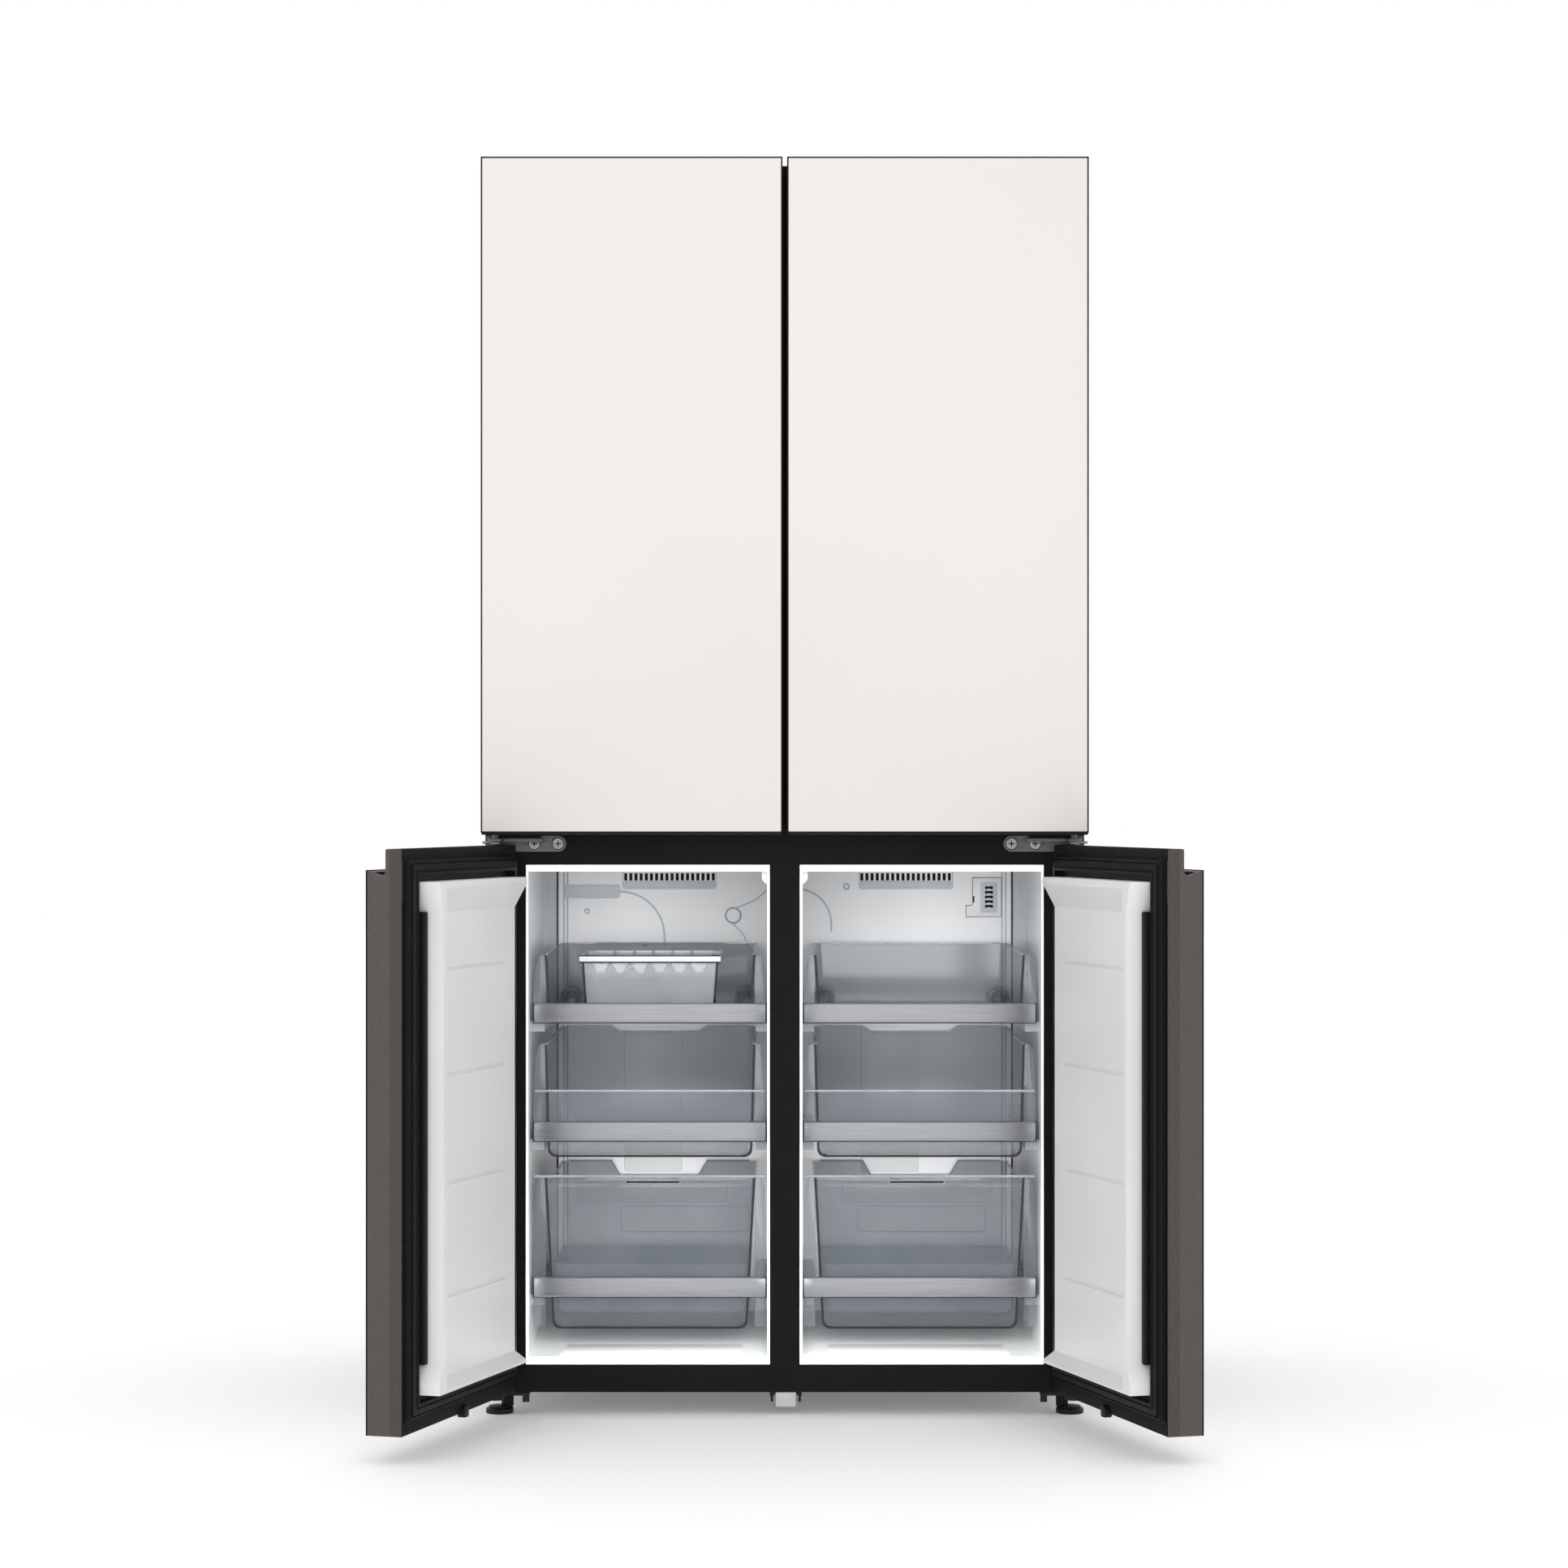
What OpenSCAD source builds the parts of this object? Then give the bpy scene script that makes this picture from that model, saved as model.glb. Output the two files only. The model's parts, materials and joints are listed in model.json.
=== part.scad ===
// Four-door french door refrigerator: two tall glass doors above, two lower doors standing
// open, and two freezer bays with three sliding drawers each.
// Millimetres, +Z up, +X to the right, the front faces -Y. Depths (y) are counted backwards
// from the front faces of the closed doors, and place() then centres the whole model.

/* [Cabinet] */
// Width of the cabinet case
case_w = 904; // [900:1:906]
// Height of the cabinet's top panel above the floor
case_top = 1872; // [1870:1:1874]
// Depth from the closed doors' front faces to the back panel
total_depth = 780; // [770:1:860]
// Depth of the cabinet's front face behind the closed doors' front faces
frame_y = 66; // [66:0.5:68]
// Thickness of the case's sheet steel
sheet_t = 1.6; // [1:0.1:2]

/* [Doors] */
// Width across the two closed doors
doors_w = 908; // [904:1:912]
// Gap between the two doors of a pair
door_gap = 7; // [5:0.5:9]
// Thickness of a door from its glass to its inner sheet
door_t = 54; // [52:1:56]
// Bottom of the upper doors
upper_z0 = 880; // [879:1:882]
// Top of the upper doors
upper_z1 = 1890; // [1888:1:1900]
// Bottom of the lower doors
lower_z0 = 40; // [38:1:42]
// Top of the lower doors' rear part, behind the finger groove
lower_z1 = 861; // [858:1:862]
// Top of the lower doors' front part
lower_front_z1 = 832; // [828:1:834]
// How far the lower doors stand open
open_angle = 106.8; // [100:0.1:110]
// Thickness of the doors' glass
glass_t = 4; // [3:0.5:4]

/* [Hinges] */
// Sideways distance of the hinge pins from the middle
hinge_x = 434; // [432:1:436]
// Depth of the hinge pins
hinge_y = 30; // [28:1:32]
// Radius of the hinge pins
pin_r = 5; // [4:0.5:6]
// Radial clearance of a pin in its door
pin_play = 0.06; // [0.03:0.01:0.1]

/* [Freezer] */
// Inner half width from the middle to the outer wall of a freezer bay
bay_x1 = 387; // [386:0.5:388]
// Distance from the middle to the inner wall of a freezer bay
bay_x0 = 26.5; // [26:0.5:27]
// Height of the freezer floor
bay_z0 = 89; // [86:1:90]
// Height of the freezer ceiling
bay_z1 = 821; // [819:1:822]
// Depth of the freezer's back cover
cover_y = 586; // [580:1:590]

/* [Drawers] */
// Heights of the handle bars' lower edges, bottom to top
bar_z = [173.5, 410, 590];
// Heights of the drawers' undersides
bin_z = [125, 386, 590];
// Heights of the drawers' sides
bin_top = [340, 558, 694];
// Heights of the drawers' front walls
bin_front = [357, 487, 604];
// Heights where the drawers' front wings start
wing_z = [127, 410, 590];
// Height of a handle bar
bar_h = 30; // [28:1:31]
// Depth of the handle bars' front faces
bar_y = 104; // [104:0.5:106]
// Wall thickness of the drawers
bin_t = 2.5; // [2:0.1:3]
// Running gap between a drawer and its rails
rail_gap = 0.4; // [0.3:0.1:0.6]

/* [Fresh food compartment] */
// Half width inside the upper compartment
room_x = 392; // [390:1:393]
// Floor of the upper compartment
room_z0 = 915; // [912:1:918]
// Ceiling of the upper compartment
room_z1 = 1828; // [1820:1:1830]
// Depth of the upper compartment's back wall
room_y1 = 687; // [680:1:690]
// Heights of the glass shelves
shelf_z = [1104, 1330, 1560];
// Heights of the door bins
door_bin_z = [945, 1230, 1515];

/* [Running gear] */
// Radius of the rear rollers
roller_r = 24; // [22:1:26]
// Depth of the rear rollers' axle
roller_y = 700; // [690:1:705]
// Depth of the front levelling feet
foot_y = 92; // [90:1:96]
// Radius of a levelling foot
foot_r = 21; // [18:1:24]
// Radius of a fan
fan_r = 50; // [44:1:52]

/* [Hidden] */
$fn = 48;
LEFT = -1;
RIGHT = 1;
eps = 1;

// how far the clipped-on shelf rails and duct cover stand off the room's walls
clip_gap = 0.1;
half_w = case_w / 2;
door_x = doors_w / 2;
door_inner = door_gap / 2;
front_t = 14;
front_back = frame_y + front_t;
case_z0 = 36;
bore_r = pin_r + pin_play;

// where the open lower door's free edge comes furthest forward
door_near_y = hinge_y + (door_t - hinge_y) * cos(open_angle)
    - (hinge_x - door_inner) * sin(open_angle);
centre_y = -(total_depth + door_near_y) / 2;

// front openings of the cabinet and the white rim round them
rim_side = 4;
rim_z = 12;
rim_top = 10;
bay_out = bay_x1 + rim_side;
bay_in = bay_x0 - rim_side + 0.2;
bay_floor = bay_z0 - rim_z;
bay_ceiling = bay_z1 + rim_top;
room_out = room_x + rim_side;
room_floor = room_z0 - rim_top;
room_ceiling = room_z1 + rim_top;
liner_t = 2.5;

// cooling space behind the freezer's back cover, and the machine bay below it
duct_y = 652;
step_z = 300;
machine_y = 640;
machine_z = 262;

// seals and raised borders on the doors' inner sheets
seal_y0 = door_t + 0.2;
seal_y1 = frame_y - 0.3;
seal_w = 22;
seal_hinge_x = hinge_x - 1;
seal_free_x = 8.5;
dyke_hinge_x = 383;
dyke_free_x = 35;
dyke_y = 99;
pane_y = 80;

// drawers
bin_x1 = 364;
bin_x0 = 46;
wing_out = 19;
bin_y0 = bar_y + 12;
bin_y1 = 570;
wing_t = 3;

module place() translate([0, centre_y, 0]) children();

module side(which) mirror([which == RIGHT ? 1 : 0, 0, 0]) children();

module both_sides() {
    children();
    mirror([1, 0, 0]) children();
}

// a box given by its lowest and highest x, y and z
module block(x, y, z)
    translate([x[0], y[0], z[0]]) cube([x[1] - x[0], y[1] - y[0], z[1] - z[0]]);

// an upright rod at a hinge pin's place
module at_pin(r, z) translate([-hinge_x, hinge_y, z[0]]) cylinder(r = r, h = z[1] - z[0]);

// turns a door about its hinge pin
module on_door(which, open = 0) place() side(which)
    translate([-hinge_x, hinge_y, 0]) rotate([0, 0, -open])
    translate([hinge_x, -hinge_y, 0]) children();

// ---------- cabinet ----------

module outer_case() color("#8d8a87") place() difference() {
    block([-half_w, half_w], [front_back, total_depth - 2], [case_z0, case_top]);
    block([-half_w + sheet_t, half_w - sheet_t], [0, total_depth], [0, case_top - sheet_t]);
    both_sides() top_hinge_screw_places() cylinder(r = 3, h = 60, center = true);
}

module rear_panel() color("#b9bab8") place() difference() {
    block([-half_w, half_w], [total_depth - 2, total_depth], [machine_z, case_top]);
    for (i = [-3:3])
        block([i * 110 - 8, i * 110 + 8], [total_depth - 0.8, total_depth + eps], [420, 1740]);
}

module machine_cover() color("#6f7172") place() difference() {
    block([-half_w + 2, half_w - 2], [total_depth - 2, total_depth - 0.4], [44, machine_z - 1]);
    for (i = [-9:9]) for (z = [80, 150])
        block([i * 42 - 14, i * 42 + 14], [total_depth - 4, total_depth + eps], [z, z + 44]);
    cover_screw_places() cylinder(r = 2, h = 20, center = true);
}

module base_frame() color("#55585a") place() {
    difference() {
        block([-half_w + 2, half_w - 2], [front_back, total_depth - 4], [case_z0, case_z0 + 4]);
        both_sides() translate([-432, foot_y, 0]) cylinder(r = 5, h = 60);
        both_sides() block([-404, -378], [roller_y - 30, roller_y + 30], [0, 60]);
    }
    both_sides() for (x = [-406, -376.4])
        block([x, x + 2], [roller_y - 14, roller_y + 14], [14, case_z0 + 4]);
    both_sides() translate([-404.5, roller_y, roller_r]) rotate([0, 90, 0])
        cylinder(r = 4, h = 28.5);
    block([-448, 448], [machine_y + 2, machine_y + 4], [case_z0 + 4, 60]);
}

module freezer_space() {
    block([-bay_x1 - liner_t, -bay_x0 + liner_t], [frame_y, cover_y + 8],
        [bay_z0 - liner_t, bay_z1 + liner_t]);
    block([-bay_x1 - liner_t, -bay_x0 + liner_t], [frame_y, duct_y],
        [step_z, bay_z1 + liner_t]);
}

module room_space()
    block([-room_x - liner_t, room_x + liner_t], [frame_y, room_y1 + liner_t],
        [room_z0 - liner_t, room_z1 + liner_t]);

module insulation() color("#e8d9a8") place() difference() {
    block([-half_w + sheet_t, half_w - sheet_t], [front_back, total_depth - 2],
        [case_z0 + 4, case_top - sheet_t]);
    both_sides() freezer_space();
    room_space();
    block([-half_w, half_w], [machine_y, total_depth + eps], [0, machine_z]);
    block([-half_w, half_w], [total_depth - 4, total_depth + eps], [0, machine_z]);
    both_sides() translate([-432, foot_y, 0]) cylinder(r = 12, h = 70);
    both_sides() top_hinge_screw_places() cylinder(r = 3, h = 60, center = true);
}

// white ring round an opening
module rim(x, z, rim_x, z_low, z_high) difference() {
    block([x[0] - rim_x, x[1] + rim_x], [frame_y + 0.5, front_back], [z[0] - z_low, z[1] + z_high]);
    block(x, [0, 200], z);
}

module fridge_liner() color("#eceeee") place() {
    rim([-room_x, room_x], [room_z0, room_z1], rim_side, rim_top, rim_top);
    difference() {
        block([-room_x - liner_t, room_x + liner_t], [front_back, room_y1 + liner_t],
            [room_z0 - liner_t, room_z1 + liner_t]);
        block([-room_x, room_x], [0, room_y1], [room_z0, room_z1]);
    }
    both_sides() for (z = shelf_z)
        block([-room_x + clip_gap, -room_x + 14], [190, room_y1 - clip_gap], [z - 10, z]);
    block([-90, 90], [room_y1 - 14, room_y1 - clip_gap], [1140, 1810]);
}

module freezer_liner() color("#e9eced") place() both_sides() {
    rim([-bay_x1, -bay_x0], [bay_z0, bay_z1], rim_side - 0.2, rim_z, rim_top);
    difference() {
        freezer_space();
        block([-500, 0], [0, front_back], [0, 1000]);
        block([-bay_x1, -bay_x0], [0, cover_y + 8 - liner_t], [bay_z0, bay_z1]);
        block([-bay_x1, -bay_x0], [0, duct_y - liner_t], [step_z + liner_t, bay_z1]);
    }
}

module front_frame() color("#1f1f24") place() difference() {
    block([-half_w, half_w], [frame_y, front_back], [case_z0 - 1, 1886]);
    block([-bay_out, bay_out], [0, 200], [bay_floor, room_floor]);
    block([-room_out, room_out], [0, 200], [room_floor - eps, room_ceiling]);
    both_sides() block([-half_w - eps, -hinge_x + 38], [0, 200], [case_top - 0.5, 1900]);
}

module mid_beam() color("#1f1f24") place() difference() {
    block([-bay_out, bay_out], [frame_y, front_back], [bay_ceiling, room_floor]);
    both_sides() mid_screw_places() cylinder(r = 3, h = 40);
}

module lower_mullion() color("#1d1d22") place()
    block([-bay_in, bay_in], [frame_y, front_back], [bay_floor, bay_ceiling]);

module upper_mullion() color("#1b1b1f") place() {
    block([-23, 23], [frame_y, front_back + 4], [room_z0, room_z1]);
    block([-12, 12], [front_back + 4, front_back + 10], [room_z0 + 60, room_z1 - 60]);
}

// slots of an air grille between two x values
module grille_slots(x0, x1, count)
    for (i = [0:count - 1])
        block([x0 + (x1 - x0) * (i + 0.2) / count, x0 + (x1 - x0) * (i + 0.8) / count],
            [cover_y - eps, cover_y + 10], [795.5, 807.5]);

module freezer_back_covers() color("#d3d8da") place() {
    difference() {
        block([-bay_x1 + 0.5, -bay_x0 - 0.5], [cover_y, cover_y + 3], [bay_z0 + 1, bay_z1 - 1]);
        grille_slots(-265, -113, 18);
    }
    difference() {
        block([bay_x0 + 0.5, bay_x1 - 0.5], [cover_y, cover_y + 3], [bay_z0 + 1, bay_z1 - 1]);
        grille_slots(122, 274, 18);
    }
    both_sides() for (x = [-372, -38])
        block([x, x + 2], [cover_y + 3, duct_y - liner_t], [step_z + 3, bay_z1 - 1]);
}

// ---------- cooling ----------

fan_x = -200;
fan_z = 726;

module evaporator() color("#b8bcc0") place() {
    for (i = [0:5]) for (y = [606, 634])
        translate([-362, y, 390 + i * 40]) rotate([0, 90, 0]) cylinder(r = 4, h = 318);
    difference() {
        for (i = [0:15]) block([-352 + i * 19, -351 + i * 19], [600, 641], [372, 610]);
        for (i = [0:5]) for (y = [606, 634])
            translate([-362, y, 390 + i * 40]) rotate([0, 90, 0]) cylinder(r = 4, h = 318);
    }
    translate([fan_x, duct_y - liner_t, fan_z]) rotate([90, 0, 0]) cylinder(r = 20, h = 12);
    translate([fan_x, duct_y - liner_t - 12, fan_z]) rotate([90, 0, 0]) cylinder(r = 3, h = 24);
}

// a fan wheel along +Z with a bore for its shaft
module fan_wheel() {
    difference() {
        cylinder(r = 15, h = 18);
        translate([0, 0, -eps]) cylinder(r = 3.06, h = 30);
    }
    for (i = [0:6]) rotate([0, 0, i * 360 / 7]) translate([14, 0, 9]) rotate([35, 0, 0])
        translate([0, -11, -1]) cube([fan_r - 14, 22, 2]);
}

module freezer_fan() color("#3b3e42") place()
    translate([fan_x, duct_y - liner_t - 14.5, fan_z]) rotate([90, 0, 0]) fan_wheel();

compressor_y = 706;

module compressor() color("#232427") place() {
    translate([-250, compressor_y, 62]) {
        cylinder(r = 60, h = 80);
        translate([0, 0, 80]) intersection() {
            sphere(r = 60, $fn = 64);
            cylinder(r = 60, h = 60);
        }
    }
    for (dx = [-64, 64]) for (dy = [-46, 46])
        translate([-250 + dx, compressor_y + dy, case_z0 + 4]) cylinder(r = 10, h = 18);
    block([-330, -170], [compressor_y - 60, compressor_y + 60], [58, 62]);
}

cond_x = 120;
cond_z = 150;

module condenser() color("#7d8286") place() {
    difference() {
        for (i = [0:15]) block([cond_x + 6 + i * 14, cond_x + 7.2 + i * 14], [656, 764], [48, 250]);
        for (i = [0:4]) for (y = [680, 740])
            translate([cond_x, y, 70 + i * 40]) rotate([0, 90, 0]) cylinder(r = 4, h = 226);
    }
    for (i = [0:4]) for (y = [680, 740])
        translate([cond_x, y, 70 + i * 40]) rotate([0, 90, 0]) cylinder(r = 4, h = 226);
    difference() {
        block([cond_x - 8, cond_x], [648, 768], [44, 256]);
        translate([cond_x - 20, 708, cond_z]) rotate([0, 90, 0]) cylinder(r = fan_r + 3, h = 40);
    }
    for (z = [cond_z - 3, cond_z + 3])
        block([cond_x - 60, cond_x - 56], [648, 768], [z - 14, z + 14]);
    block([cond_x - 60, cond_x - 8], [648, 652], [136, 164]);
    block([cond_x - 60, cond_x - 8], [764, 768], [136, 164]);
    translate([cond_x - 56, 708, cond_z]) rotate([0, 90, 0]) cylinder(r = 18, h = 20);
    translate([cond_x - 36, 708, cond_z]) rotate([0, 90, 0]) cylinder(r = 3, h = 24);
}

module condenser_fan() color("#33363a") place()
    translate([cond_x - 34, 708, cond_z]) rotate([0, 90, 0]) fan_wheel();

// ---------- hinges, fasteners and running gear ----------

module top_hinge_screw_places() for (y = [98, 132]) for (x = [-438, -412])
    translate([x, y, case_top]) children();

module mid_screw_places() for (x = [-377.7, -342]) translate([x, frame_y - 4, 863])
    rotate([-90, 0, 0]) children();

module cover_screw_places() for (x = [-430, 0, 430]) for (z = [56, 250])
    translate([x, total_depth - 1, z]) rotate([90, 0, 0]) children();

// hinge leaf with a round nose at the pin
module leaf(half, y1, z) {
    at_pin(half, z);
    block([-hinge_x - half, -hinge_x + half], [hinge_y, y1], z);
}

module top_hinges() color("#4a4c50") place() both_sides() {
    difference() {
        union() {
            leaf(12, 100, [case_top, case_top + 4]);
            block([-448, -402], [84, 148], [case_top, case_top + 4]);
        }
        top_hinge_screw_places() cylinder(r = 3, h = 60, center = true);
    }
    at_pin(pin_r, [1848, case_top + 0.5]);
}

module mid_hinges() color("#9b9b9b") place() both_sides() {
    leaf(12, frame_y - 3, [866, 871]);
    block([-hinge_x, -364], [34, frame_y - 8], [866, 871]);
    difference() {
        union() {
            block([-450, -342], [frame_y - 4, frame_y], [851, 875]);
            translate([-342, frame_y, 863]) rotate([90, 0, 0]) cylinder(r = 12, h = 4);
        }
        mid_screw_places() cylinder(r = 3, h = 40, center = true);
    }
    at_pin(pin_r, [848, 893]);
}

module bottom_hinges() color("#3a3a3e") place() both_sides() {
    difference() {
        union() {
            leaf(12, 110, [29, 34]);
            block([-450, -386], [70, 112], [29, 34]);
        }
        translate([-432, foot_y, 0]) cylinder(r = 5, h = 60);
    }
    block([-396, -386], [66, 76], [20, 34]);
    at_pin(pin_r, [33, 57]);
}

module levelling_feet() color("#232326") place() both_sides() translate([-432, foot_y, 0]) {
    cylinder(r = foot_r, h = 8);
    translate([0, 0, 8]) cylinder(r = foot_r - 5, h = 6);
    translate([0, 0, 14]) cylinder(r = 9, h = 12, $fn = 6);
    cylinder(r = 5, h = 58);
}

// a screw along -Z with its head above the origin
module screw(head_r, head_h, shank_r, shank_h) {
    translate([0, 0, -shank_h]) cylinder(r = shank_r, h = shank_h);
    difference() {
        cylinder(r = head_r, h = head_h);
        for (a = [0, 90]) rotate([0, 0, a]) translate([-head_r * 0.6, -0.8, head_h - 1.4])
            cube([head_r * 1.2, 1.6, 3]);
    }
}

module screws() color("#c9c9c7") place() {
    both_sides() mid_screw_places() rotate([180, 0, 0]) screw(8, 3, 3, 16);
    both_sides() top_hinge_screw_places() translate([0, 0, 4]) screw(6, 3, 3, 14);
    cover_screw_places() rotate([180, 0, 0]) translate([0, 0, 0.6]) screw(4.5, 1.4, 2, 2);
}

module centre_block() color("#cfd0cc") place() {
    block([-14, 17], [frame_y, 92], [14, case_z0 - 1]);
    for (x = [-20, 21]) block([x - 2, x + 2], [frame_y, 90], [24, case_z0 - 1]);
}

module rear_rollers() color("#2b2b2d") place() both_sides()
    translate([-402, roller_y, roller_r]) rotate([0, 90, 0]) difference() {
        cylinder(r = roller_r, h = 22);
        translate([0, 0, -eps]) cylinder(r = 4.06, h = 40);
    }

// ---------- inside the compartments ----------

module drawer_rails() color("#e4e7e8") place() both_sides() for (z = bar_z) {
    block([-bay_x1, -bin_x1 - 2], [bin_y0 + 6, cover_y - 2], [z - 14, z + 2 - rail_gap]);
    block([-bin_x0 + 2, -bay_x0], [bin_y0 + 6, cover_y - 2], [z - 14, z + 2 - rail_gap]);
}

module shelves() color("#cfe0e0") place() for (z = shelf_z) {
    block([-388, 388], [200, 670], [z, z + 4]);
    block([-388, 388], [192, 200], [z, z + 16]);
}

module crispers() color("#c9d2d6") place() both_sides() difference() {
    union() {
        block([-374, -10], [192, 660], [924, 1082]);
        block([-374, -10], [192, 203], [924, 1094]);
        block([-340, -44], [180, 192], [1070, 1084]);
    }
    block([-371, -13], [203, 657], [927, 1100]);
}

// ---------- doors ----------

module glass_panel(which, z0, z1, open = 0) color("#efebe6") on_door(which, open)
    block([-door_x + 2, -door_inner - 2], [0, glass_t], [z0 + 2, z1 - 2]);

module gasket(which, z0, z1, open = 0) color("#1c1c22") on_door(which, open) difference() {
    block([-seal_hinge_x, -seal_free_x], [seal_y0, seal_y1], [z0, z1]);
    block([-seal_hinge_x + seal_w, -seal_free_x - seal_w], [0, 200], [z0 + seal_w, z1 - seal_w]);
}

module upper_frame(which) color("#232327") on_door(which) difference() {
    union() {
        difference() {
            block([-door_x, -door_inner], [0.5, door_t], [upper_z0, upper_z1]);
            block([-door_x + 2, -door_inner - 2], [-eps, glass_t], [upper_z0 + 2, upper_z1 - 2]);
            block([-door_x + 3, -door_inner - 3], [0, 200], [upper_z0 + 3, upper_z1 - 3]);
        }
        block([-door_x + eps, -hinge_x + 18], [8, 50], [upper_z0, upper_z0 + 20]);
        block([-door_x + eps, -hinge_x + 20], [5, 50], [1838, upper_z1]);
    }
    at_pin(bore_r, [upper_z0 - eps, upper_z0 + 16]);
    at_pin(bore_r, [1845, upper_z1]);
    block([-door_x - eps, -hinge_x + 15], [6.5, 200], [1868, 2000]);
}

module upper_liner(which) color("#e6e7e8") on_door(which) difference() {
    union() {
        block([-door_x + 3, -door_inner - 3], [door_t - 2, door_t], [upper_z0 + 3, upper_z1 - 24]);
        block([-dyke_hinge_x, -dyke_free_x - 3], [door_t, 96], [919, 1824]);
    }
    block([-dyke_hinge_x + 24, -dyke_free_x - 27], [door_t + 3, 200], [943, 1800]);
}

module upper_bins(which) color("#dfe6ea") on_door(which) for (z = door_bin_z) {
    difference() {
        block([-356, -65], [door_t + 4, 156], [z, z + 105]);
        block([-353, -68], [door_t + 7, 153], [z + 3, z + 200]);
    }
}

// side view of a lower door's edge with its finger groove along the top
module lower_edge_profile() polygon([
    [0.5, lower_z0], [0.5, lower_front_z1], [25, lower_front_z1 - 8], [30, lower_front_z1 - 3.5],
    [30, lower_z1], [door_t, lower_z1], [door_t, lower_z0]
]);

// a (y, z) outline drawn out between two x values
module drawn_out(x0, x1) translate([x0, 0, 0]) rotate([90, 0, 90])
    linear_extrude(height = x1 - x0) children();

module lower_frame(which) color("#504b48") on_door(which, open_angle) difference() {
    union() {
        difference() {
            drawn_out(-door_x, -door_inner) lower_edge_profile();
            block([-door_x + 2, -door_inner - 2], [-eps, glass_t],
                [lower_z0 + 2, lower_front_z1 - 2]);
            block([-door_x + 3, -door_inner - 3], [0, 200], [lower_z0 + 3, 788]);
            block([-hinge_x + 26, -door_inner - 6], [9, 30], [798, 900]);
        }
        block([-door_x + eps, -hinge_x + 20], [8, 50], [lower_z0, lower_z0 + 22]);
        block([-door_x, -hinge_x + 22], [16, door_t], [820, lower_z1]);
    }
    at_pin(bore_r, [lower_z0 - eps, lower_z0 + 19]);
    at_pin(bore_r, [845, lower_z1 + eps]);
}

// side view of the inner sheet's thick top or bottom cap
module cap_profile(flip, z) polygon([for (p = [
    [door_t, 0], [dyke_y - 4, 0], [dyke_y, 4], [dyke_y, 24], [pane_y, 44], [door_t, 44]
]) [p[0], flip ? z - p[1] : z + p[1]]]);

module lower_liner(which) color("#e2e3e4") on_door(which, open_angle) difference() {
    union() {
        block([-door_x + 3, -door_inner - 3], [door_t - 2, door_t], [lower_z0 + 3, 788]);
        block([-dyke_hinge_x, -49], [door_t, pane_y], [100, 810]);
        block([-71, -49], [pane_y - eps, dyke_y], [96, 815]);
        drawn_out(-dyke_hinge_x, -dyke_free_x) cap_profile(true, 815);
        drawn_out(-dyke_hinge_x, -dyke_free_x) cap_profile(false, 95);
    }
    for (z = [225, 385, 540, 690]) block([-349, -95], [pane_y - 2, pane_y + eps], [z - 3, z + 3]);
}

// ---------- drawers ----------

// front view of a bin with round lower corners, x from its left wall
module bin_outline(w, h, r) {
    translate([0, r]) square([w, h - r]);
    translate([r, 0]) square([w - 2 * r, r + eps]);
    for (x = [r, w - r]) translate([x, r]) circle(r = r);
}

module bin_shape(x0, w, y0, y1, z0, h, r) translate([x0, y1, z0]) rotate([90, 0, 0])
    linear_extrude(height = y1 - y0) bin_outline(w, h, r);

// left front wing beside a bin, its outer edge leaning in
module wing(level) translate([0, bin_y0 + wing_t, 0]) rotate([90, 0, 0])
    linear_extrude(height = wing_t) polygon([
        [-bin_x1 + 1, wing_z[level]], [-bin_x1 - wing_out, wing_z[level] + 4],
        [-bin_x1 - wing_out, wing_z[level] + 34], [-bin_x1 - wing_out + 6, bin_top[level] - 8],
        [-bin_x1 - 6, bin_top[level]], [-bin_x1 + 1, bin_top[level]]
    ]);

module drawer_bin(which, level) color("#8f9aa3") place() side(which) {
    w = bin_x1 - bin_x0;
    h = bin_top[level] - bin_z[level];
    front_h = bin_front[level] - bin_z[level];
    difference() {
        bin_shape(-bin_x1, w, bin_y0, bin_y1, bin_z[level], h, 14);
        bin_shape(-bin_x1 + bin_t, w - 2 * bin_t, bin_y0 + wing_t, bin_y1 - bin_t,
            bin_z[level] + bin_t, h, 12);
        if (front_h < h)
            block([-bin_x1 + bin_t, -bin_x0 - bin_t], [0, bin_y0 + 20],
                [bin_front[level], bin_top[level] + eps]);
    }
    if (front_h > h)
        block([-bin_x1, -bin_x0], [bin_y0, bin_y0 + wing_t], [bin_top[level] - 2, bin_front[level]]);
    wing(level);
    translate([-bin_x1 - bin_x0, 0, 0]) mirror([1, 0, 0]) wing(level);
    block([-bin_x1 - wing_out + 1, -bin_x1 + 1], [bin_y0 + 2, bin_y1 - 20],
        [bar_z[level] + 2, bar_z[level] + 5]);
    block([-bin_x0 - 1, -bin_x0 + wing_out - 1], [bin_y0 + 2, bin_y1 - 20],
        [bar_z[level] + 2, bar_z[level] + 5]);
}

// side view of a handle bar with a slightly bowed front
module bar_profile(z) polygon([
    [bin_y0, z], [bar_y + 2, z], [bar_y + 0.6, z + 2], [bar_y, z + bar_h / 2],
    [bar_y + 0.6, z + bar_h - 3], [bar_y + 3, z + bar_h], [bin_y0, z + bar_h]
]);

module drawer_bar(which, level) color("#cfcfcf") place() side(which)
    drawn_out(-bin_x1 - 17, -bin_x0 + 17) bar_profile(bar_z[level]);

module inner_tray(which) color("#c8c6d6") place() side(which) difference() {
    block([-350, -60], [150, 400], [bin_z[0] + 18, 226]);
    block([-347, -63], [153, 397], [bin_z[0] + 21, 240]);
}

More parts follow.
